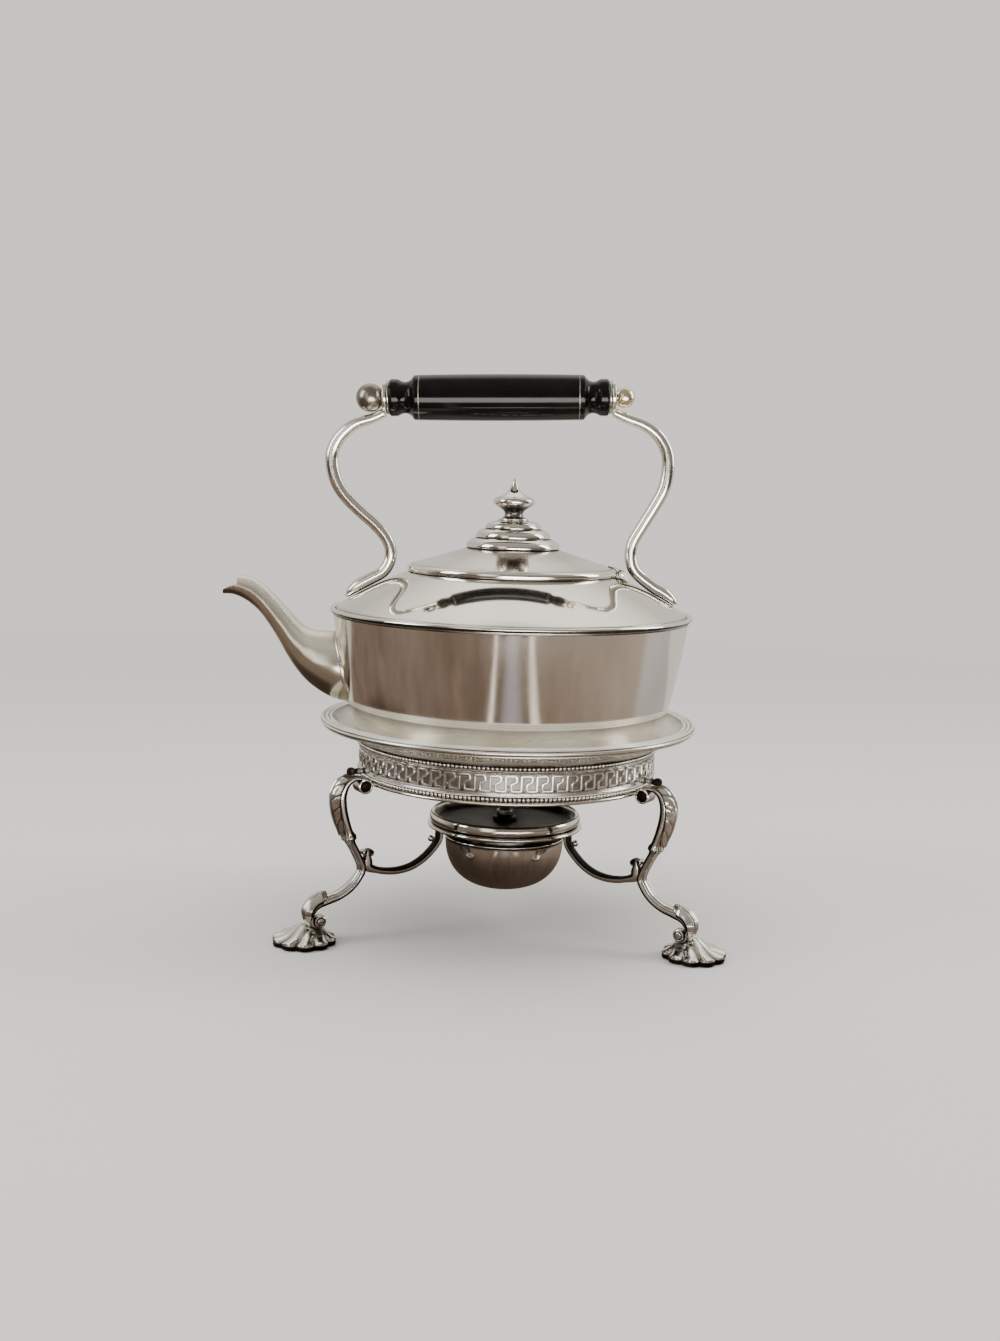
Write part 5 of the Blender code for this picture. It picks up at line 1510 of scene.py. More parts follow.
    def spout(self) -> tuple[Form, Form]:
        """Makes the spout and the line of solder round its root.

        Returns:
            The hollow spout, and the solder line.
        """
        root_x, root_z = self.spout_root
        knots = [
            (root_x - a * self.spout_reach, root_z + b * self.spout_rise,
             root_x - c * self.spout_reach, root_z + d * self.spout_rise, wide * self.spout_half_width)
            for a, b, c, d, wide in self.spout_shares
        ]
        first = knots[0]
        knots.insert(0, (first[0] + 0.010, first[1] - 0.0006, first[2] + 0.010, first[3] - 0.0002, first[4]))
        curve = np.array(smooth(knots, 24))
        share = np.linspace(0, 1, len(curve))
        turns = np.arange(self.spout_sides) * math.tau / self.spout_sides

        def surface(t: np.ndarray, inset: float) -> np.ndarray:
            """Gives the point at place t for each direction round the spout."""
            low_x, low_z, high_x, high_z, wide = (np.interp(t, share, curve[:, i]) for i in range(5))
            height = np.hypot(high_x - low_x, high_z - low_z) / 2
            scale = (height - inset) / height * np.cos(turns) / 2
            x = (low_x + high_x) / 2 + (high_x - low_x) * scale
            z = (low_z + high_z) / 2 + (high_z - low_z) * scale
            return np.column_stack((x, (wide - inset) * np.sin(turns), z))

        start, end = self.spout_ends(surface)
        places = np.linspace(0, 1, 90)
        outer = [surface(start + place * (end - start), 0.0) for place in places]
        lip = surface(end + 0.0035, self.spout_wall / 2)
        inner = [
            surface(start + place * (end - start), self.spout_wall)
            for place in np.linspace(1, 0, 60)
        ]
        depths = [*(0.5 * (1 - step_between(0.0, 0.02, places))), 0.0, *np.full(60, 0.35)]
        depth = np.repeat(np.array(depths)[:, None], self.spout_sides, axis=1)
        body = skinned(np.array([*outer, lip, *inner]), depth, ring=True)
        seam = surface(start, -0.0001)
        away = np.column_stack((seam[:, :2], np.zeros(self.spout_sides)))
        away /= np.linalg.norm(away, axis=1, keepdims=True)
        return body, tube(seam + away * 0.0001, away, 0.0008, 0.25)

    def spout_ends(
        self, surface: Callable[[np.ndarray, float], np.ndarray]
    ) -> tuple[np.ndarray, np.ndarray]:
        """Finds where the spout leaves the wall and where its mouth is cut, round the spout.

        Args:
            surface: Gives the spout's points.

        Returns:
            The first and the last place for each direction.
        """
        root_x, root_z = self.spout_root
        notch_x, notch_z = root_x - 0.858 * self.spout_reach, root_z + 0.930 * self.spout_rise
        tip_x, tip_z = root_x - self.spout_reach - 0.004, root_z + 0.872 * self.spout_rise
        count = self.spout_sides
        start, end = np.zeros(count), np.ones(count)
        open_start, open_end = np.ones(count, bool), np.ones(count, bool)
        for t in np.linspace(0, 1, 601):
            points = surface(np.full(count, t), 0.0)
            outside = np.hypot(points[:, 0], points[:, 1]) > self.wall_radius(points[:, 2]) + 0.0002
            found = open_start & outside
            start[found] = t
            open_start &= ~outside
            line = notch_z + (points[:, 0] - notch_x) / (tip_x - notch_x) * (tip_z - notch_z)
            cut = open_end & (points[:, 0] < notch_x) & (points[:, 2] > line)
            end[cut] = t
            open_end &= ~cut
        for _ in range(4):
            end = (np.roll(end, 1) + 2 * end + np.roll(end, -1)) / 4
        return start, end


@dataclass
class Hinge:
    """Knuckles on the shoulder, the pin, and the leaf on the lid."""

    shop: Workshop
    axis: Point = (0.0579, 0.0907129)
    knuckle: float = 0.0019
    length: float = 0.0042
    pin_radius: float = 0.0008

    def build_on_kettle(self) -> None:
        """Sets the two knuckles and the pin."""
        x, z = self.axis
        place = self.shop.upright(KETTLE_SEAT)
        toe, heel = x - 0.0010, x + 0.0034
        outline = [(toe, shoulder_rise(toe) + GAP), (heel, shoulder_rise(heel) + GAP)]
        outline += [point[:2] for point in arc((x, z), (self.knuckle, self.knuckle), 20, 225, 20)]
        near = self.length / 2 + GAP
        far = near + self.length
        # Painted shade: the knuckles take the dark dull finish, standing for the shade round the hinge.
        for name, low, high in (("front", -far, -near), ("rear", near, far)):
            form = prism(outline, low, high, 0.0003).moved(place)
            self.shop.add(form, f"knuckle_{name}", "kettle", Look.KNOB, f"hinge_knuckle_{name}")
        end = far + 0.0003
        thick = self.pin_radius
        pin = rounded([
            (0, -end, 0, 0), (thick, -end, 0.0003, 0), (thick, end, 0.0003, 0), (0, end, 0, 0),
        ], closed=False)
        turn = place @ Matrix.Translation((x, 0, z)) @ Matrix.Rotation(math.pi / 2, 4, "X")
        self.shop.add(turned(pin, 24).moved(turn), "pin_turned", "kettle", Look.PLATE, "hinge_pin")

    def build_on_lid(self, crest: Point, pitch: float) -> None:
        """Sets the leaf with the middle knuckle.

        Args:
            crest: Radius and height of the top of the lid's rim.
            pitch: Slope of its cone.
        """
        x, z = self.axis
        start = crest[0] - 0.0034
        start_height = crest[1] + (crest[0] - start) * pitch + 0.0001
        outline = [
            (crest[0] + 0.0015, crest[1] - 0.0012), (crest[0], crest[1] + 0.0002), (start, start_height),
            (start, start_height + 0.0005), (crest[0] + 0.0002, crest[1] + 0.0008),
        ]
        outline += [point[:2] for point in arc((x, z), (self.knuckle, self.knuckle), 100, -170, 24)]
        form = prism(outline, -self.length / 2, self.length / 2, 0.0002)
        place = self.shop.upright(KETTLE_SEAT)
        self.shop.add(form.moved(place), "lid_leaf", "lid", Look.KNOB, "lid_hinge_leaf")


@dataclass
class Handle:
    """Two bent arms, the turned grip with its inlaid rings, washers and ball nuts."""

    shop: Workshop
    grip_place: Point = (-0.0095, 0.1808)
    tilt: float = math.radians(1.7)
    half: float = 0.0571
    radius: float = 0.0121
    bore: float = 0.0021
    grip_shares: tuple[Point, ...] = (
        (0.40, 0.99), (0.73, 0.965), (0.776, 0.95), (0.815, 0.74), (0.855, 0.675),
        (0.89, 0.70), (0.922, 0.79), (0.985, 0.80), (1.00, 0.76),
    )
    arm_radius: float = 0.0032
    tip_radius: float = 0.0905
    foot_shares: tuple[Point, ...] = (
        (0.0030, 0.16), (0.0036, 0.46), (0.0060, 0.82), (0.0100, 1.02), (0.0160, 1.06),
    )
    left_shares: tuple[Point, ...] = (
        (0.754, 0.149, 1.00), (0.719, 0.201, 1.00), (0.716, 0.261, 1.00), (0.749, 0.320, 1.00),
        (0.812, 0.378, 1.00), (0.894, 0.435, 1.00), (0.976, 0.500, 1.04), (1.035, 0.572, 1.08),
        (1.063, 0.653, 1.10), (1.060, 0.726, 1.08), (1.017, 0.793, 1.04), (0.938, 0.853, 0.97),
    )
    right_shares: tuple[Point, ...] = (
        (0.723, 0.180, 1.00), (0.691, 0.244, 1.00), (0.696, 0.317, 1.00), (0.746, 0.398, 1.00),
        (0.809, 0.489, 1.02), (0.866, 0.585, 1.06), (0.885, 0.681, 1.08), (0.876, 0.760, 1.06),
        (0.830, 0.831, 1.02), (0.750, 0.884, 0.97),
    )
    plate_start: float = 0.0587
    plate_thickness: float = 0.0020
    plate_radius: float = 0.0088

    def build(self) -> None:
        """Builds and sets the handle."""
        add, dress = self.shop.add, self.shop.dress
        kettle = self.shop.upright(KETTLE_SEAT)
        axis = kettle @ Matrix.Translation((self.grip_place[0], 0, self.grip_place[1]))
        axis = axis @ Matrix.Rotation(math.pi / 2 - self.tilt, 4, "Y")
        flip = Matrix.Rotation(math.pi, 4, "X")
        add(self.grip().moved(axis), "grip_turned", "kettle", Look.WOOD, "grip")
        dress("tie_rod", Look.PLATE)
        for side, sign, shares, facing, look, radius, seat in (
            ("left", -1, self.left_shares, axis @ flip, Look.KNOB, 0.0074, 0.87),
            ("right", 1, self.right_shares, axis, Look.BRASS, 0.0055, 0.78),
        ):
            arm = self.arm(sign, shares).moved(kettle) + self.end_plate().moved(facing)
            add(arm, f"arm_{side}", "kettle", Look.ARM, f"handle_arm_{side}")
            add(self.inlay().moved(facing), f"inlay_{side}", "kettle", Look.KNOB, f"inlay_ring_{side}")
            add(self.washer().moved(facing), f"washer_{side}", "kettle", Look.PLATE, f"grip_washer_{side}")
            add(self.nut(radius, seat).moved(facing), f"nut_{side}", "kettle", look, f"ball_nut_{side}")

    def grip(self) -> Form:
        """Makes the grip, with a barrel, a cove and a collar at each end."""
        knots = [(across * self.radius, along * self.half, 0.0) for along, across in self.grip_shares]
        barrel = smooth([(self.radius, 0.0, 0.0), *knots[:3]], 10)
        cove = smooth(knots[2:6], 6)[1:]
        collar = rounded([(*knots[5][:2], 0, 0), (*knots[6][:2], 0.0008, 0), (*knots[7][:2], 0.0010, 0),
                          (*knots[8][:2], 0.0006, 0), (self.bore, self.half, 0, 0)], closed=False)[1:]
        side = barrel + cove + collar
        return turned(mirrored(side[1:]) + side, 96)

    def inlay(self) -> Form:
        """Makes an inlaid ring, a hair proud of the wood."""
        middle, outer = 0.73 * self.half, 0.965 * self.radius + 0.00012
        return turned(rounded([
            (outer - 0.0012, middle - 0.0003, 0.0001, 0.3), (outer, middle - 0.0003, 0.0002, 0.2),
            (outer, middle + 0.0003, 0.0002, 0.2), (outer - 0.0012, middle + 0.0003, 0.0001, 0.3),
        ]), 96)

    def washer(self) -> Form:
        """Makes the washer at the grip's end."""
        start = self.half + GAP
        return turned(rounded([
            (self.bore, start, 0.0001, 0.3), (0.0087, start, 0.0004, 0.4),
            (0.0087, start + 0.001, 0.0004, 0.4), (self.bore, start + 0.001, 0.0001, 0.3),
        ]), 72)

    def end_plate(self) -> Form:
        """Makes the round plate at an arm's top."""
        start, end = self.plate_start, self.plate_start + self.plate_thickness
        return turned(rounded([
            (self.bore, start, 0.0001, 0.2), (self.plate_radius, start, 0.0006, 0.1),
            (self.plate_radius, end, 0.0007, 0.0), (0.0062, end, 0.0003, 0.2), (self.bore, end, 0.0001, 0.3),
        ]), 72)

    def nut(self, radius: float, seat_share: float) -> Form:
        """Makes a ball nut on a short neck.

        Args:
            radius: The ball's radius.
            seat_share: Distance of its centre from its seat, as a share of the radius.

        Returns:
            The nut.
        """
        seat = self.plate_start + self.plate_thickness + GAP
        centre = seat + seat_share * radius
        start = -math.degrees(math.asin(seat_share))
        ball = arc((0, centre), (radius, radius), start + 6, 90, 28)
        neck = rounded([
            (self.bore, seat, 0, 0.5), (0.60 * radius, seat, 0.0002, 0.5),
            (0.60 * radius, seat + 0.0007, 0.0002, 0.7), (*ball[0][:2], 0.0002, 0.4),
        ], closed=False)
        return turned([*neck, *ball, (0, seat, 0.5)], 64)

    def arm(self, side: int, shares: Sequence[Point]) -> Form:
        """Makes a round arm with a pointed foot that lies on the shoulder.

        Args:
            side: -1 for the left arm, 1 for the right.
            shares: (out, up, thickness) shares from the foot to the grip.

        Returns:
            The arm, in the kettle's frame.
        """
        def on_shoulder(inwards: float, share: float) -> Point:
            """Gives a station that lies on the shoulder."""
            radius, thickness = self.tip_radius - inwards, share * self.arm_radius
            return (radius, shoulder_rise(radius) + (thickness + GAP) / math.cos(SHOULDER_SLOPE), thickness)

        path = [on_shoulder(*shares) for shares in self.foot_shares]
        foot = on_shoulder(0.0, 0.18)[1]
        rise = self.grip_place[1] - foot
        path += [
            (out * self.tip_radius, foot + up * rise, thick * self.arm_radius)
            for out, up, thick in shares
        ]
        middle = self.plate_start + self.plate_thickness / 2
        path.append((*self.beside_grip(side, middle + 0.0066, self.plate_radius + 0.0018), 0.0027))
        path.append((*self.beside_grip(side, middle, self.plate_radius - 0.0012), 0.0024))
        fine = [(side * x, z, 2 * radius, 2 * radius) for x, z, radius in smooth(path, 8)]

        def section(place: float) -> list[Point]:
            """Gives a round section, wide at the foot and with a painted dark line of shade and reflection
            along its inner side, from the foot up.
            """
            wide = 1 + 0.45 * (1 - step_between(0.05, 0.24, place)) * step_between(0.0, 0.06, place)
            dark = 1 - step_between(0.26, 0.44, place)
            points = []
            for angle in np.arange(36) * math.tau / 36:
                # Painted shade and reflection: a dark line along the inner side, from the foot up.
                depth = dark * step_between(0.62, 0.86, side * math.sin(angle))
                points.append((0.5 * wide * math.cos(angle), 0.5 * math.sin(angle), depth))
            return points

        return swept(fine, section)

    def beside_grip(self, side: int, reach: float, drop: float) -> Point:
        """Gives a place beside the grip.

        Args:
            side: -1 left, 1 right.
            reach: Distance along the grip's axis.
            drop: Distance under it.

        Returns:
            Distance out from the kettle's axis on that side, and height.
        """
        x = self.grip_place[0] + side * reach * math.cos(self.tilt) + drop * math.sin(self.tilt)
        z = self.grip_place[1] + side * reach * math.sin(self.tilt) - drop * math.cos(self.tilt)
        return (side * x, z)


@dataclass
class Lid:
    """Shallow cone with its bezel, stepped dome and finial."""

    shop: Workshop
    radius: float = 0.05545
    pitch: float = math.tan(math.radians(19.4))
    rim_foot: float = 0.0895055
    rim_height: float = 0.0019
    roll_height: float = 0.0036
    hole: float = 0.0180
    sheet: float = 0.0012
    dome_radius: float = 0.0246
    dome_height: float = 0.0144
    dome_steps: tuple[tuple[Point, ...], ...] = (
        ((0.990, 0.000, 0.9), (1.005, 0.045, 0.1), (1.000, 0.130, 0), (0.960, 0.240, 0), (0.885, 0.325, 0.1),
         (0.806, 0.365, 0.9)),
        ((0.790, 0.380, 0.9), (0.802, 0.405, 0.1), (0.798, 0.490, 0), (0.765, 0.590, 0), (0.695, 0.665, 0.1),
         (0.612, 0.700, 0.9)),
        ((0.592, 0.716, 0.9), (0.602, 0.740, 0.1), (0.594, 0.820, 0), (0.550, 0.910, 0), (0.470, 0.972, 0.1),
         (0.370, 1.000, 0.5)),
    )
    dome_inside: tuple[Point, ...] = ((0.170, 0.895), (0.500, 0.740), (0.690, 0.480), (0.850, 0.220))
    finial_radius: float = 0.0111
    finial_height: float = 0.0222
    # The depth column of the finial's shares darkens the neck under the rolled rim: oxide and painted shade.
    finial_shares: tuple[Point, ...] = (
        (0.720, 0.000, 0.2), (0.735, 0.022, 0.0), (0.700, 0.044, 0.1), (0.575, 0.054, 0.9),
        (0.475, 0.090, 0.7), (0.430, 0.150, 0.8), (0.460, 0.200, 0.9), (0.530, 0.240, 0.9),
        (0.690, 0.298, 0.9), (0.860, 0.345, 0.5), (0.957, 0.376, 0.2), (0.990, 0.412, 0.1),
        (1.000, 0.445, 0.0), (0.990, 0.476, 0.0), (0.950, 0.502, 0.1), (0.860, 0.528, 0.5),
        (0.727, 0.556, 0.1), (0.593, 0.589, 0.1), (0.420, 0.640, 0.15), (0.306, 0.690, 0.2),
        (0.200, 0.770, 0.2), (0.124, 0.853, 0.1), (0.090, 0.924, 0.0), (0.0, 1.0, 0.0),
    )

    def build(self) -> None:
        """Builds and sets the lid."""
        self.shop.add_all(
            "lid", self.shop.upright(KETTLE_SEAT),
            (self.cone(), "lid_spun", Look.PLATE, "lid_cone"),
            (self.bezel(), "bezel_turned", Look.PLATE, "lid_bezel"),
            (self.dome(), "dome_stepped", Look.PLATE, "lid_dome"),
            (self.finial(), "finial_turned", Look.PLATE, "finial"),
        )
        self.shop.dress("finial_nut", Look.PLATE)
        Hinge(self.shop).build_on_lid(self.crest, self.roof_pitch)

    def face(self, radius: float) -> float:
        """Gives the height of the solid cone's upper face at a radius."""
        return self.rim_foot + self.rim_height + (self.radius - radius) * self.pitch

    @property
    def drop(self) -> float:
        """The sheet's thickness, measured straight down."""
        return self.sheet * math.sqrt(1 + self.pitch ** 2)

    @property
    def crest(self) -> Point:
        """Radius and height of the top of the thick rim."""
        return (self.radius - 0.0013, self.rim_foot + self.roll_height)

    @property
    def roof_pitch(self) -> float:
        """Slope of the upper face from the rim to the dome."""
        radius, height = self.crest
        return (self.face(self.dome_radius) - height) / (radius - self.dome_radius)

    def roof(self, radius: float) -> float:
        """Gives the height of the upper face at a radius."""
        return self.face(self.dome_radius) - (radius - self.dome_radius) * self.roof_pitch

    def cone(self) -> Form:
        """Makes the cone with its thick rounded rim and a fine line inside it."""
        edge, foot, line = self.radius, self.rim_foot, self.radius - 0.0026
        inner, top = self.crest
        dome = self.dome_radius
        return turned(rounded([
            # Oxide and painted shade: the rim's underside is darkened.
            (inner, foot + 0.0006, 0.0002, 0.8), (edge - 0.0003, foot, 0.0003, 1.0),
            (edge, foot + 0.0006, 0.0004, 0.3), (edge + 0.0002, foot + 0.0018, 0.0008, 0.0),
            (edge - 0.0002, top - 0.0006, 0.0008, 0.0), (inner, top, 0.0004, 0.0),
            (line + 0.0003, self.roof(line), 0.0001, 0.7),
            (line - 0.0001, self.roof(line - 0.0004), 0.0002, 0.1),
            (0.0440, self.roof(0.0440), 0.0, 0.0), (0.0380, self.roof(0.0380), 0.0, 0.13),
            (0.0300, self.roof(0.0300), 0.0, 0.24), (dome + 0.0014, self.roof(dome + 0.0014), 0.0, 0.28),
            (dome, self.roof(dome), 0.0002, 0.7), (self.hole, self.face(self.hole), 0.0002, 0.2),
            (self.hole, self.face(self.hole) - self.drop, 0.0002, 0.2),
            (inner, self.face(inner) - self.drop, 0.0004, 0.2),
        ]), 224)

    def bezel(self) -> Form:
        """Makes the ring under the lid."""
        drop = self.drop + GAP
        outer = 0.0516
        inner = outer - self.sheet
        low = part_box("lid_bezel")[0].z - KETTLE_SEAT
        return turned(rounded([
            (inner, low, 0.0003, 0.2), (outer, low, 0.0003, 0.2),
            (outer, self.face(outer) - drop, 0.0001, 0.4), (inner, self.face(inner) - drop, 0.0001, 0.4),
        ]))

    def dome(self) -> Form:
        """Makes the dome of three convex steps with dark grooves between them."""
        radius, height = self.dome_radius, self.dome_height
        bottom = self.face(radius) + GAP
        outline = [
            (wide * radius, bottom + up * height, deep)
            for step in self.dome_steps
            for wide, up, deep in smooth(step, 4)
        ]
        inner = [(wide * radius, bottom + up * height, 0.3) for wide, up in self.dome_inside]
        inner.insert(0, (0.0022, inner[0][1], 0.3))
        inner.append((0.890 * radius, self.face(0.890 * radius) + GAP, 0.3))
        return turned([*outline, (0.0022, bottom + height, 0.3), *smooth(inner, 4)], 144)

    def finial(self) -> Form:
        """Makes the finial, with its stud through the dome."""
        bottom = self.face(self.dome_radius) + GAP + self.dome_height + GAP
        knots = [
            (wide * self.finial_radius, bottom + up * self.finial_height, depth)
            for wide, up, depth in self.finial_shares
        ]
        body = [(max(r, 0.0), h, min(1.0, max(0.0, d))) for r, h, d in smooth(knots, 6)]
        stud_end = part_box("finial")[0].z - KETTLE_SEAT
        stud = [(0, stud_end, 0.2), (0.0019, stud_end, 0.2), (0.0019, bottom, 0.4)]
        return turned(stud + body, 96)


# Burner

@dataclass
class Burner:
    """Fuel bowl, the dished pan that hangs it on the ring, the wick tube and the wick."""

    shop: Workshop
    pan_radius: float = 0.0403
    pan_height: float = 0.0057
    bowl_radius: float = 0.0328
    bowl_depth: float = 0.0282
    lip_height: float = -0.0078
    neck: float = 0.0300
    sheet: float = 0.0012

    def build(self) -> None:
        """Builds and sets the burner."""
        self.shop.add_all(
            "burner", self.shop.upright(BURNER_SEAT),
            (self.bowl(), "bowl_spun", Look.BURNER, "burner_bowl"),
            (self.pan(), "pan_dished", Look.BURNER, "burner_pan"),
            (self.wick_tube(), "wick_tube_turned", Look.BURNER, "wick_tube"),
            (self.wick(), "wick_plaited", Look.COTTON, "wick"),
        )

    def bowl(self) -> Form:
        """Makes the bowl with its rolled bright lip and the neck over it, with painted shade under the lip
        and on the neck.
        """
        edge = self.bowl_radius - 0.0009
        outer = [
            (edge * math.cos(a) ** 0.8, self.lip_height - self.bowl_depth * math.sin(a) ** 0.8, 0.0)
            for a in np.radians(np.linspace(88, 2, 40))
        ]
        outer.insert(0, (0.0, self.lip_height - self.bowl_depth, 0.0))
        # Painted shade: the line under the lip and the neck, which sits in the ring's shadow, are darkened.
        lip = [(edge, self.lip_height - 0.0006, 1.0)]
        lip += arc((edge, self.lip_height + 0.0003), (0.0009, 0.0007), -80, 90, 8)
        neck = rounded([
            (edge - 0.0002, self.lip_height + 0.001, 0.0001, 0.3),
            (self.neck, self.lip_height + 0.0011, 0.0005, 0.8), (self.neck, -GAP, 0.0002, 0.4),
            (self.neck - self.sheet, -GAP, 0.0002, 0.3), (self.neck - self.sheet, self.lip_height, 0.0, 0.3),
        ], closed=False)
        inner = arc((0, self.lip_height), (edge - self.sheet, self.bowl_depth - self.sheet), -2, -90, 24, 0.3)
        inner[-1] = (0.0, inner[-1][1], 0.3)
        return turned(outer + lip + neck + inner, 144)

    def pan(self) -> Form:
        """Makes the pan with a bright rounded rim and a dark dished inside."""
        radius, height = self.pan_radius, self.pan_height
        return turned(rounded([
            (0.0046, 0.0, 0.0002, 0.3), (radius - 0.0010, 0.0, 0.0003, 1.0),
            (radius - 0.0001, 0.0007, 0.0004, 0.3),
            (radius + 0.0003, 0.0024, 0.0012, 0.0), (radius - 0.0001, 0.0044, 0.0008, 0.0),
            (radius - 0.0006, height - 0.0006, 0.0002, 0.8), (radius - 0.0012, height, 0.0004, 0.0),
            (radius - 0.0024, height - 0.0007, 0.0007, 0.2),
            (radius - 0.0030, 0.0028, 0.0016, 0.7), (radius - 0.0060, 0.0012, 0.0030, 1.0),
            (0.0046, 0.0011, 0.0002, 1.0),
        ], 5), 144)

    def wick_tube(self) -> Form:
        """Makes the wick tube with its collar."""
        bore, outer, collar = 0.0033, 0.0043, 0.0065
        return turned(rounded([
            (bore, -0.0120, 0.0001, 0.4), (outer, -0.0120, 0.0002, 0.3), (outer, 0.0014, 0.0001, 0.6),
            (collar, 0.0014, 0.0003, 0.9), (collar, 0.0026, 0.0004, 0.8), (outer, 0.0027, 0.0004, 1.0),
            (outer, 0.0061, 0.0003, 0.2), (bore, 0.0061, 0.0003, 0.6),
        ]), 48)

    def wick(self) -> Form:
        """Makes the wick with a frayed rounded tip."""
        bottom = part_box("wick")[0].z - BURNER_SEAT
        tip = arc((0, 0.0061), (0.0030, 0.0012), 0, 90, 8)
        tip[-1] = (0.0, tip[-1][1], 0.0)
        form = turned([(0, bottom, 0), (0.0030, bottom, 0), (0.0030, 0.0050, 0), *tip], 40)
        angle = np.arctan2(form.points[:, 1], form.points[:, 0])
        fray = 1 + 0.05 * np.sin(9 * angle) * (form.points[:, 2] > 0.0055)
        form.points[:, :2] *= fray[:, None] * 0.95
        return form


# Studio

@dataclass(frozen=True)
class Photograph:
    """The camera's place, found from the ellipses of the kettle's rims."""

    lens_pixels: float = 1500.0
    frame_height: float = 1341.0
    place: tuple[float, float, float] = (-0.00157, -0.795, 0.24048)
    pitch: float = math.radians(7.497)
    yaw: float = math.radians(-0.239)
    roll: float = math.radians(-1.694)

    def build(self, axis: tuple[float, float]) -> None:
        """Makes the camera.

        Args:
            axis: The kettle's axis in plan.
        """
        ahead = Vector((
            math.sin(self.yaw) * math.cos(self.pitch),
            math.cos(self.yaw) * math.cos(self.pitch),
            -math.sin(self.pitch),
        ))
        level = Vector((math.cos(self.yaw), -math.sin(self.yaw), 0))
        over = level.cross(ahead)
        right = math.cos(self.roll) * level - math.sin(self.roll) * over
        up = math.sin(self.roll) * level + math.cos(self.roll) * over
        turn = Matrix((right, up, -ahead)).transposed().to_4x4()
        data = bpy.data.cameras.new("photograph")
        data.sensor_fit = "VERTICAL"
        data.sensor_height = 36.0
        data.lens = self.lens_pixels / self.frame_height * data.sensor_height
        data.clip_start = 0.01
        camera = bpy.data.objects.new("photograph", data)
        bpy.context.scene.collection.objects.link(camera)
        spot = Vector(self.place) + Vector((*axis, 0))
        camera.matrix_world = Matrix.Translation(spot) @ turn
        bpy.context.scene.camera = camera


@dataclass(frozen=True)
class Softbox:
    """One large area light."""

    name: str
    place: tuple[float, float, float]
    aim: tuple[float, float, float]
    size: tuple[float, float]
    power: float
    colour: tuple[float, float, float] = (1.0, 1.0, 1.0)
    mirrored: bool = True

    def build(self, axis: tuple[float, float]) -> None:
        """Makes the light.

        Args:
            axis: The kettle's axis in plan.
        """
        data = bpy.data.lights.new(self.name, "AREA")
        data.shape = "RECTANGLE"
        data.size, data.size_y = self.size
        data.energy = self.power
        data.color = self.colour
        light = bpy.data.objects.new(self.name, data)
        bpy.context.scene.collection.objects.link(light)
        light.location = Vector(self.place) + Vector((*axis, 0))
        way = Vector(self.aim) - Vector(self.place)
        light.rotation_euler = way.to_track_quat("-Z", "Y").to_euler()
        light.visible_glossy = self.mirrored


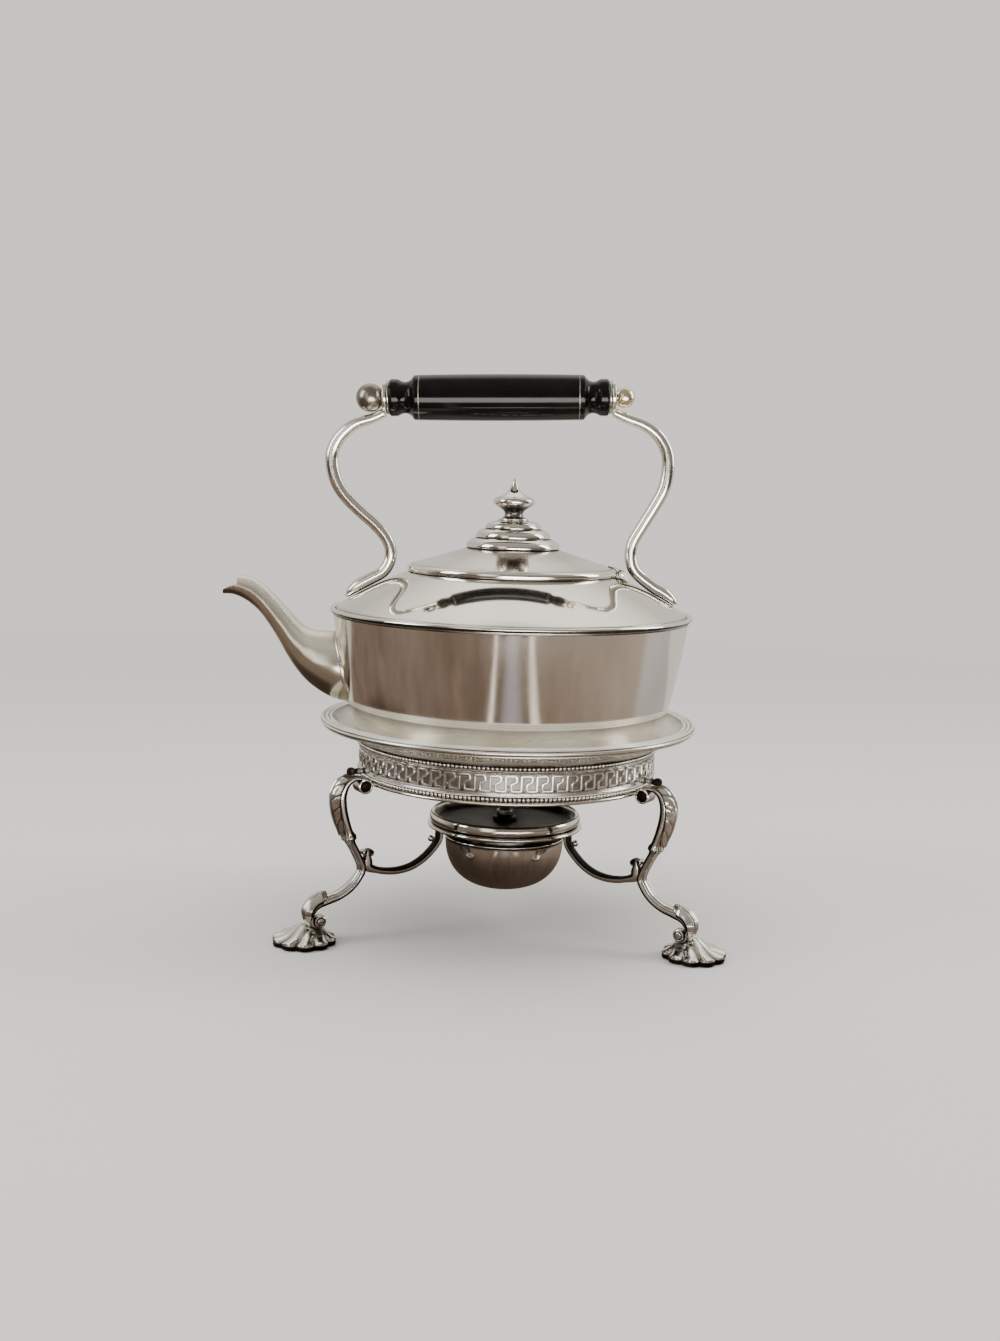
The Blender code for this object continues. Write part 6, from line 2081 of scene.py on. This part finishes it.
@dataclass
class Studio:
    """Pale floor, soft light, and a brown table that only reflections see, with a painted shadow and painted
    highlights on it.

    A highlight streak on the table has its place, its half width, its strength, its glow and its colour.
    """

    shop: Workshop
    softboxes: tuple[Softbox, ...] = (
        Softbox("overhead", (0.0, 0.0, 1.5), (0.0, 0.0, 0.1), (1.6, 1.4), 13.0, mirrored=False),
        Softbox("window_left", (-1.5, -0.5, 0.9), (0.0, 0.0, 0.12), (0.7, 1.1), 14.0, (0.96, 0.98, 1.0)),
        Softbox("window_right", (1.4, 0.2, 0.8), (0.0, 0.0, 0.12), (0.5, 1.2), 12.0),
    )
    highlight_streaks: tuple[tuple[float, float, float, float, Colour], ...] = (
        (0.005, 0.034, 0.60, 0.0, (0.42, 0.40, 0.47, 1.0)),
        (-0.0254, 0.008, 1.0, 0.022, (0.95, 0.84, 0.80, 1.0)),
        (0.0400, 0.016, 0.8, 0.0176, (0.95, 0.82, 0.76, 1.0)),
    )
    backdrop: Colour = (1.02, 0.98, 0.92, 1.0)

    def build(self) -> None:
        """Builds the studio."""
        for softbox in self.softboxes:
            softbox.build(self.shop.axis)
        self.floor()
        self.table()
        self.room()

    @staticmethod
    def flat(name: str, points: Sequence[Point], material: bpy.types.Material) -> bpy.types.Object:
        """Makes a flat face of the studio.

        Args:
            name: Its name.
            points: Its corners.
            material: Its material.

        Returns:
            The face.
        """
        mesh = bpy.data.meshes.new(name)
        mesh.from_pydata(points, [], [tuple(range(len(points)))])
        mesh.materials.append(material)
        face = bpy.data.objects.new(name, mesh)
        bpy.context.scene.collection.objects.link(face)
        return face

    def plan(self, sheet: Sheet) -> tuple[Shade, Shade]:
        """Gives X and Y from the kettle's axis."""
        place = sheet.texture("Object")
        return tuple(sheet.coordinate(place, index) - self.shop.axis[index] for index in (0, 1))

    def floor(self) -> None:
        """Makes the plain pale floor, which fades into the backdrop far away."""
        material, sheet, shader = new_material("pale_floor")
        x, y = self.plan(sheet)
        grain = sheet.noise(sheet.texture("Object"), 7.0, 3.0)
        tint = sheet.mix(grain, (0.81, 0.80, 0.78, 1.0), (0.84, 0.83, 0.81, 1.0))
        far = ((x * x + y * y) ** 0.5).between(0.35, 1.6)
        sheet.feed(shader, {
            "Base Color": sheet.mix(far, tint, BLACK),
            "Emission Color": sheet.mix(far, BLACK, self.backdrop),
            "Emission Strength": 1.0,
            "Roughness": 0.85,
            "Specular IOR Level": 0.0,
        })
        angles = np.arange(96) * math.tau / 96
        points = [(5.0 * math.cos(a), 5.0 * math.sin(a), -0.0002) for a in angles]
        self.flat("floor", points, material).visible_glossy = False

    def table(self) -> None:
        """Makes the brown surface that stands in for the photograph's table in reflections, with a painted
        shadow of the kettle and painted highlights.
        """
        material, sheet, shader = new_material("table_in_reflections")
        x, y = self.plan(sheet)
        angle, reach = x.sum_of("ARCTAN2", y, x), (x * x + y * y) ** 0.5
        burr = sheet.node("ShaderNodeCombineXYZ", {}, {0: angle, 1: reach})
        cloud = sheet.noise(sheet.stretched(burr, (7.0, 5.0, 1.0)), 1.0, 5.0, 0.7)
        streaky = sheet.noise(sheet.stretched(burr, (34.0, 3.0, 1.0)), 1.0, 3.0, 0.6)
        tint = sheet.mix(cloud.between(0.32, 0.68), (0.074, 0.047, 0.036, 1.0), (0.165, 0.113, 0.092, 1.0))
        tint = sheet.mix(streaky.between(0.40, 0.75) * 0.45, tint, (0.17, 0.150, 0.105, 1.0))
        tint = sheet.mix(x.between(-0.02, 0.35) * 0.45, tint, (0.42, 0.36, 0.31, 1.0))
        tint = sheet.mix(x.between(0.24, 0.30) * y.between(-0.01, 0.03), tint, (0.34, 0.315, 0.32, 1.0))
        # Painted shadow: the table darkens under the kettle and in a patch to the left, where the kettle's
        # shadow falls.
        aside, behind = x + 0.20, y - 0.06
        shade = 1 - (aside * aside + behind * behind).between(0.012, 0.035)
        under = 1 - (x * x + y * y).between(0.0016, 0.0140)
        tint = sheet.mix(under * 0.6, tint, (0.045, 0.026, 0.017, 1.0))
        tint = sheet.mix(shade * 0.9, tint, (0.022, 0.013, 0.008, 1.0))
        # Painted highlights: a glowing glare zone, and bright streaks mixed into the table's colour and made
        # to glow.
        turn = x / (0.3 - y)
        glare = (0 - y).between(0.52, 0.62) * turn.between(-0.20, -0.12) * (1 - turn.between(0.5, 0.7))
        for middle, width, strength, glow, colour in self.highlight_streaks:
            off = x - middle + y * (middle / 0.30)
            highlight_streak = (1 - (off * off).between(0.0, width * width)) * (0 - y).between(0.12, 0.2)
            tint = sheet.mix(highlight_streak * strength, tint, colour)
            glare = glare + highlight_streak * glow
        sheet.feed(shader, {
            "Base Color": tint,
            "Emission Color": sheet.mix(glare, BLACK, (1.0, 0.97, 0.93, 1.0)),
            "Emission Strength": 11.0,
            "Roughness": 0.7,
            "Specular IOR Level": 0.1,
        })
        (x, y), (left, right), (near, far) = self.shop.axis, (-0.9, 0.9), (-4.0, 0.36)
        corners = ((left, near), (right, near), (right, far), (left, far))
        table = self.flat("table", [(x + i, y + j, -0.0001) for i, j in corners], material)
        table.visible_camera = False
        table.visible_diffuse = False
        table.visible_shadow = False
        table.visible_transmission = False

    def room(self) -> None:
        """Makes the light from all round, bright behind, dim low in front, with a window on the left."""
        world = bpy.data.worlds.new("room")
        world.use_nodes = True
        bpy.context.scene.world = world
        sheet = Sheet(world.node_tree)
        way = sheet.texture("Generated")
        x, y, z = (sheet.coordinate(way, index) for index in range(3))
        low = sheet.mix(z.between(-0.03, 0.12), (0.07, 0.06, 0.05, 1.0), (0.24, 0.225, 0.20, 1.0))
        front = sheet.mix(z.between(0.3, 0.8), low, (0.40, 0.38, 0.34, 1.0))
        side = (0 - x).between(0.20, 0.34) * (1 - (0 - x).between(0.50, 0.62))
        front = sheet.mix(side * (1 - z.between(0.45, 0.65)), front, (1.45, 1.40, 1.25, 1.0))
        back = sheet.mix(z.between(0.45, 0.78), (0.80, 0.77, 0.70, 1.0), (1.62, 1.56, 1.42, 1.0))
        back = sheet.mix(z.between(0.93, 0.99), back, (0.60, 0.58, 0.53, 1.0))
        back = sheet.mix((0 - x).between(0.15, 0.65) * 0.8, back, (0.62, 0.60, 0.55, 1.0))
        room = sheet.mix(y.between(-0.05, 0.40), front, back)
        seen = sheet.node("ShaderNodeLightPath", output="Is Camera Ray")
        background = world.node_tree.nodes["Background"]
        sheet.feed(background, {"Color": sheet.mix(seen, room, self.backdrop), "Strength": 1.0})


def main() -> None:
    """Builds the dressed kettle and its studio."""
    logging.basicConfig(level=logging.INFO, format="%(message)s")
    shop = Workshop()
    Photograph().build(shop.axis)
    for assembly in (StandRings, Legs, KettleBody, Handle, Lid, Burner, Studio):
        assembly(shop).build()
        LOG.info("%s built", assembly.__name__)


if __name__ == "__main__":
    main()
